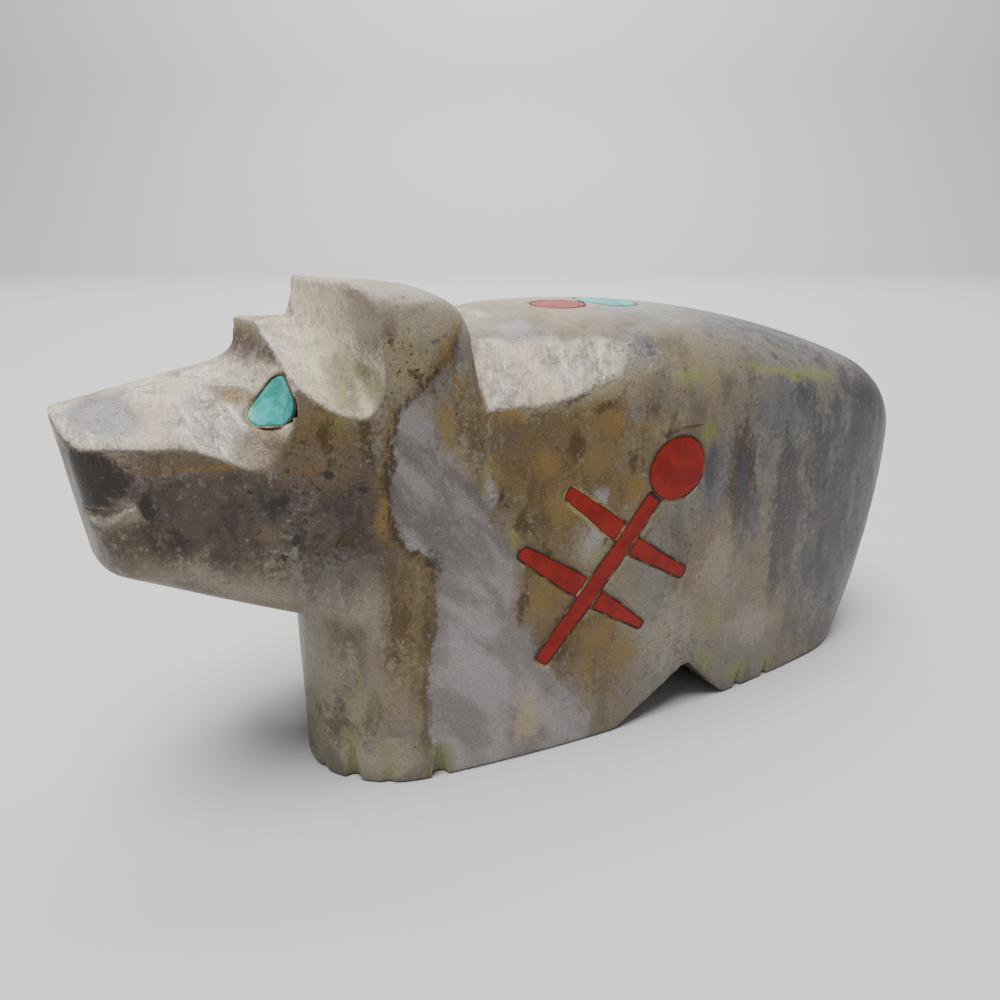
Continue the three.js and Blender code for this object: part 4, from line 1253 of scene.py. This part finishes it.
def glue_material():
    material, tree = new_material("inlay_glue")
    place = millimetres(tree)
    patch = tree.ramp(tree.noise(place, 0.9, 4.0, 0.6), 0.48, 0.66, 0.0, 0.7)
    cream = tree.added(tree.attribute("cream"), tree.noise(place, 2.4, 4.0, 0.6), 3.0)
    shade = tree.mix(patch, colour("2a211a"), colour("75633f"))
    shade = tree.mix(tree.ramp(cream, -0.2, 0.7, 0.0, 0.85), shade, STONE_COLOURS["filler"])
    bump = tree.node("ShaderNodeBump", Strength=0.5, Distance=0.00004, Height=tree.noise(place, 6.0))
    finish_material(tree, Base_Color=shade, Roughness=0.5, Normal=bump.outputs[0])
    return material


# The glue line round each inlay: a bead that follows the outline

LUMPS_PER_METRE = 900.0
BEAD_DEPTH = 0.075


def bead_tree(glue):
    """Sweeps a round section of uneven size along a closed path."""
    group = bpy.data.node_groups.new("glue_bead", "GeometryNodeTree")
    face = group.interface
    face.new_socket("Path", in_out="INPUT", socket_type="NodeSocketGeometry")
    sockets = {}
    for label, kind in (("Bead Radius", "Float"), ("Unevenness", "Float"), ("Seed", "Int")):
        sockets[label] = face.new_socket(label, in_out="INPUT", socket_type="NodeSocket" + kind).identifier
    face.new_socket("Bead", in_out="OUTPUT", socket_type="NodeSocketGeometry")
    tree = Tree(group)
    inputs = group.nodes.new("NodeGroupInput").outputs
    lumps = {"W": inputs["Seed"], "Scale": LUMPS_PER_METRE, "Detail": 2.0}
    noise = tree.node("ShaderNodeTexNoise", {"noise_dimensions": "4D"}, **lumps).outputs[0]
    size = tree.plus(1.0, tree.math("SUBTRACT", noise, 0.5), inputs["Unevenness"])
    section = tree.node("GeometryNodeCurvePrimitiveCircle", Resolution=8, Radius=inputs["Bead Radius"])
    ends = {"Curve": inputs["Path"], "Profile_Curve": section.outputs[0], "Scale": size}
    sweep = tree.node("GeometryNodeCurveToMesh", **ends)
    real = tree.node("GeometryNodeRealizeInstances", Geometry=sweep.outputs[0])
    coated = tree.node("GeometryNodeSetMaterial", Geometry=real.outputs[0], Material=glue)
    group.links.new(coated.outputs[0], group.nodes.new("NodeGroupOutput").inputs[0])
    return group, sockets


def path_object(name, points):
    curve = bpy.data.curves.new(name, "CURVE")
    curve.dimensions = "3D"
    spline = curve.splines.new("POLY")
    spline.points.add(len(points) - 1)
    placed = (points - np.array([MIDDLE, 0.0, 0.0])) * MM
    rows = np.concatenate([placed, np.ones((len(placed), 1))], 1)
    spline.points.foreach_set("co", rows.astype(np.float32).ravel())
    spline.use_cyclic_u = True
    return linked(name, curve)


def plain_copy(source, name):
    """A plain mesh of what an object's modifiers make of it, in place of the object."""
    bpy.context.view_layer.update()
    graph = bpy.context.evaluated_depsgraph_get()
    mesh = bpy.data.meshes.new_from_object(source.evaluated_get(graph), depsgraph=graph)
    mesh.name = name
    bpy.data.objects.remove(source)
    mesh.polygons.foreach_set("use_smooth", np.ones(len(mesh.polygons), bool))
    return linked(name, mesh)


def mark_cream(mesh):
    """Stores where the glue is pale filler, from the same areas as the stone's."""
    places = np.empty(len(mesh.vertices) * 3, np.float32)
    mesh.vertices.foreach_get("co", places)
    places = places.reshape(-1, 3) / MM + np.array([MIDDLE, 0.0, 0.0])
    level = area_level(places[:, 0], places[:, 2], AREAS["cream"])
    store(mesh, "cream", np.where(places[:, 1] < 0, level, -1.0))


# Add-on


def colour_property(name, description, default):
    return FloatVectorProperty(
        name=name, description=description, default=default, size=4, min=0.0, max=1.0, subtype="COLOR",
    )


class BearSettings(bpy.types.PropertyGroup):
    stone: colour_property("Stone", "Colour of the plain stone between its patches", colour("716858"))
    vein: colour_property("Vein", "Colour of the grey vein that runs down from the neck", colour("746d6b"))
    turquoise: colour_property("Turquoise", "Colour of the eyes and of one oval on the back", colour("36a3a0"))
    coral: colour_property("Coral", "Colour of the lizard and of the other oval", colour("8a1f12"))
    fine_step: FloatProperty(
        name="Fine Step", description="Distance between mesh points over the head, in millimetres",
        default=0.29, min=0.2, max=1.0,
    )
    coarse_step: FloatProperty(
        name="Coarse Step", description="Distance between mesh points over the rump, in millimetres",
        default=0.42, min=0.2, max=1.5,
    )
    bead_radius: FloatProperty(
        name="Glue Bead Radius", description="Radius of the glue line round the inlay, in metres",
        default=0.085 * MM, min=0.0, soft_max=MM, subtype="DISTANCE", unit="LENGTH", precision=6,
    )
    bead_unevenness: FloatProperty(
        name="Glue Unevenness", description="How much the glue line's size varies along it",
        default=1.1, min=0.0, max=2.0,
    )
    seed: IntProperty(name="Seed", description="Which pattern of uneven glue is made", default=5, min=0)


class StudioSettings(bpy.types.PropertyGroup):
    floor: colour_property("Floor", "Colour of the floor and the backdrop", (0.51, 0.505, 0.51, 1.0))
    lens: FloatProperty(
        name="Lens", description="Focal length of the camera, in millimetres", default=28.0, min=10.0,
    )
    pitch: FloatProperty(
        name="Pitch", description="How far the camera looks down",
        default=math.radians(18.5), subtype="ANGLE", unit="ROTATION",
    )
    heading: FloatProperty(
        name="Heading", description="How far the camera is turned from square on",
        default=math.radians(-30.0), subtype="ANGLE", unit="ROTATION",
    )
    distance: FloatProperty(
        name="Backdrop Distance", description="How far behind the bear the backdrop rises",
        default=0.9, min=0.1, subtype="DISTANCE", unit="LENGTH",
    )


def attach(piece, slot, *nodes):
    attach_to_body(piece, "root")
    if nodes:
        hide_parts(*nodes)


class BEAR_OT_carve_stone(bpy.types.Operator):
    """Carve the bear's body from one piece of mottled stone"""

    bl_idname = "bear.carve_stone"
    bl_label = "Carve Stone"

    def execute(self, context):
        settings = context.scene.stone_bear
        steps = ((settings.fine_step, settings.coarse_step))
        piece = carve_stone(*steps)
        piece.data.materials.append(stone_material(settings.stone, settings.vein))
        attach(piece, "stone", "stone_bear")
        return {"FINISHED"}


class BEAR_OT_set_inlay(bpy.types.Operator):
    """Set the turquoise eyes, the coral lizard and the ovals on the back"""

    bl_idname = "bear.set_inlay"
    bl_label = "Set Inlay"

    def execute(self, context):
        stones = {}
        for stone, look in INLAY_STONES.items():
            stones[stone] = inlay_material(stone, getattr(context.scene.stone_bear, stone), *look)
        for name, plane, outline, stone, proud in INLAYS:
            piece = inlay_piece("inlay_" + name, plane, outline, proud)
            piece.data.materials.append(stones[stone])
            attach(piece, stone, name)
        return {"FINISHED"}


class BEAR_OT_run_glue(bpy.types.Operator):
    """Run an uneven glue line round every inlay piece"""

    bl_idname = "bear.run_glue"
    bl_label = "Run Glue Lines"

    def execute(self, context):
        settings = context.scene.stone_bear
        group, sockets = bead_tree(glue_material())
        for number, (name, plane, outline, _, _) in enumerate(INLAYS):
            points = on_surface(offset_outline(outline, POCKET_GAP / 2), plane, -BEAD_DEPTH)
            path = path_object("glue_path_" + name, points)
            modifier = path.modifiers.new("Glue Bead", "NODES")
            modifier.node_group = group
            modifier[sockets["Bead Radius"]] = settings.bead_radius
            modifier[sockets["Unevenness"]] = settings.bead_unevenness
            modifier[sockets["Seed"]] = settings.seed + number
            piece = plain_copy(path, "glue_" + name)
            mark_cream(piece.data)
            attach(piece, "stone")
        return {"FINISHED"}


class BEAR_OT_build_studio(bpy.types.Operator):
    """Build the pale floor and backdrop, the soft lights and the camera"""

    bl_idname = "bear.build_studio"
    bl_label = "Build Studio"

    def execute(self, context):
        settings = context.scene.bear_studio
        build_floor(settings)
        build_lights()
        build_camera(settings)
        return {"FINISHED"}


CAMERA_AT = (-36.48, -54.4, 37.8)


def build_camera(settings):
    camera = bpy.data.cameras.new("camera")
    camera.lens = settings.lens
    camera.sensor_width = 36.0
    camera.clip_start = MM
    camera.clip_end = 20.0
    holder = linked("camera", camera)
    holder.location = Vector(CAMERA_AT) * MM
    holder.rotation_euler = (math.radians(90) - settings.pitch, 0.0, settings.heading)
    bpy.context.scene.camera = holder


def build_floor(settings):
    """A pale sheet that lies flat round the bear and curves up behind it."""
    reach, rise, bend, width, sunk = 1.2, 1.2, 0.25, 3.0, 0.00002
    profile = [(-reach, 0.0), (settings.distance, 0.0)]
    for n in range(1, 13):
        turn = math.radians(90) * n / 12
        profile.append((settings.distance + bend * math.sin(turn), bend * (1 - math.cos(turn))))
    profile.append((settings.distance + bend, rise))
    sin, cos = math.sin(-settings.heading), math.cos(-settings.heading)
    rows = []
    for back, up in profile:
        for side in (-width / 2, width / 2):
            rows.append((side * cos + back * sin, back * cos - side * sin, up - sunk))
    faces = [(2 * n, 2 * n + 1, 2 * n + 3, 2 * n + 2) for n in range(len(profile) - 1)]
    mesh = bpy.data.meshes.new("studio_floor")
    mesh.from_pydata(rows, [], faces)
    mesh.polygons.foreach_set("use_smooth", np.ones(len(faces), bool))
    floor = linked("studio_floor", mesh)
    material, tree = new_material("pale_floor")
    finish_material(tree, Base_Color=settings.floor, Roughness=0.6)
    mesh.materials.append(material)


LIGHTS = {
    "light_top": {"at": (-0.12, -0.06, 0.50), "size": 0.34, "watts": 5.0, "towards": (0.0, 0.0, 0.016)},
    "light_backdrop": {"at": (0.20, 0.35, 0.90), "size": 0.80, "watts": 23.0, "towards": (0.62, 1.07, 0.30)},
}


def build_lights():
    for name, light in LIGHTS.items():
        data = bpy.data.lights.new(name, "AREA")
        data.shape = "DISK"
        data.size = light["size"]
        data.energy = light["watts"]
        holder = linked(name, data)
        holder.location = light["at"]
        looking = Vector(light["towards"]) - holder.location
        holder.rotation_euler = looking.to_track_quat("-Z", "Y").to_euler()
    world = bpy.data.worlds.new("soft_room")
    world.use_nodes = True
    colour_socket, strength_socket = list(world.node_tree.nodes["Background"].inputs)[:2]
    colour_socket.default_value = (0.9, 0.92, 0.95, 1.0)
    strength_socket.default_value = 0.35
    bpy.context.scene.world = world


class BEAR_PT_panel(bpy.types.Panel):
    """Sizes and steps for the stone bear"""

    bl_idname = "BEAR_PT_panel"
    bl_label = "Stone Bear"
    bl_space_type = "VIEW_3D"
    bl_region_type = "UI"
    bl_category = "Stone Bear"

    def draw(self, context):
        column = self.layout.column(align=True)
        for settings in (context.scene.stone_bear, context.scene.bear_studio):
            for name in type(settings).__annotations__:
                column.prop(settings, name)
        for step in STEPS:
            column.operator(step.bl_idname)


STEPS = (BEAR_OT_carve_stone, BEAR_OT_set_inlay, BEAR_OT_run_glue, BEAR_OT_build_studio)
CLASSES = (BearSettings, StudioSettings, *STEPS, BEAR_PT_panel)


def register():
    for part in CLASSES:
        bpy.utils.register_class(part)
    bpy.types.Scene.stone_bear = PointerProperty(type=BearSettings)
    bpy.types.Scene.bear_studio = PointerProperty(type=StudioSettings)


def unregister():
    del bpy.types.Scene.stone_bear
    del bpy.types.Scene.bear_studio
    for part in reversed(CLASSES):
        bpy.utils.unregister_class(part)


def main():
    register()
    bpy.ops.bear.carve_stone()
    bpy.ops.bear.set_inlay()
    bpy.ops.bear.run_glue()
    bpy.ops.bear.build_studio()


if __name__ == "__main__":
    main()
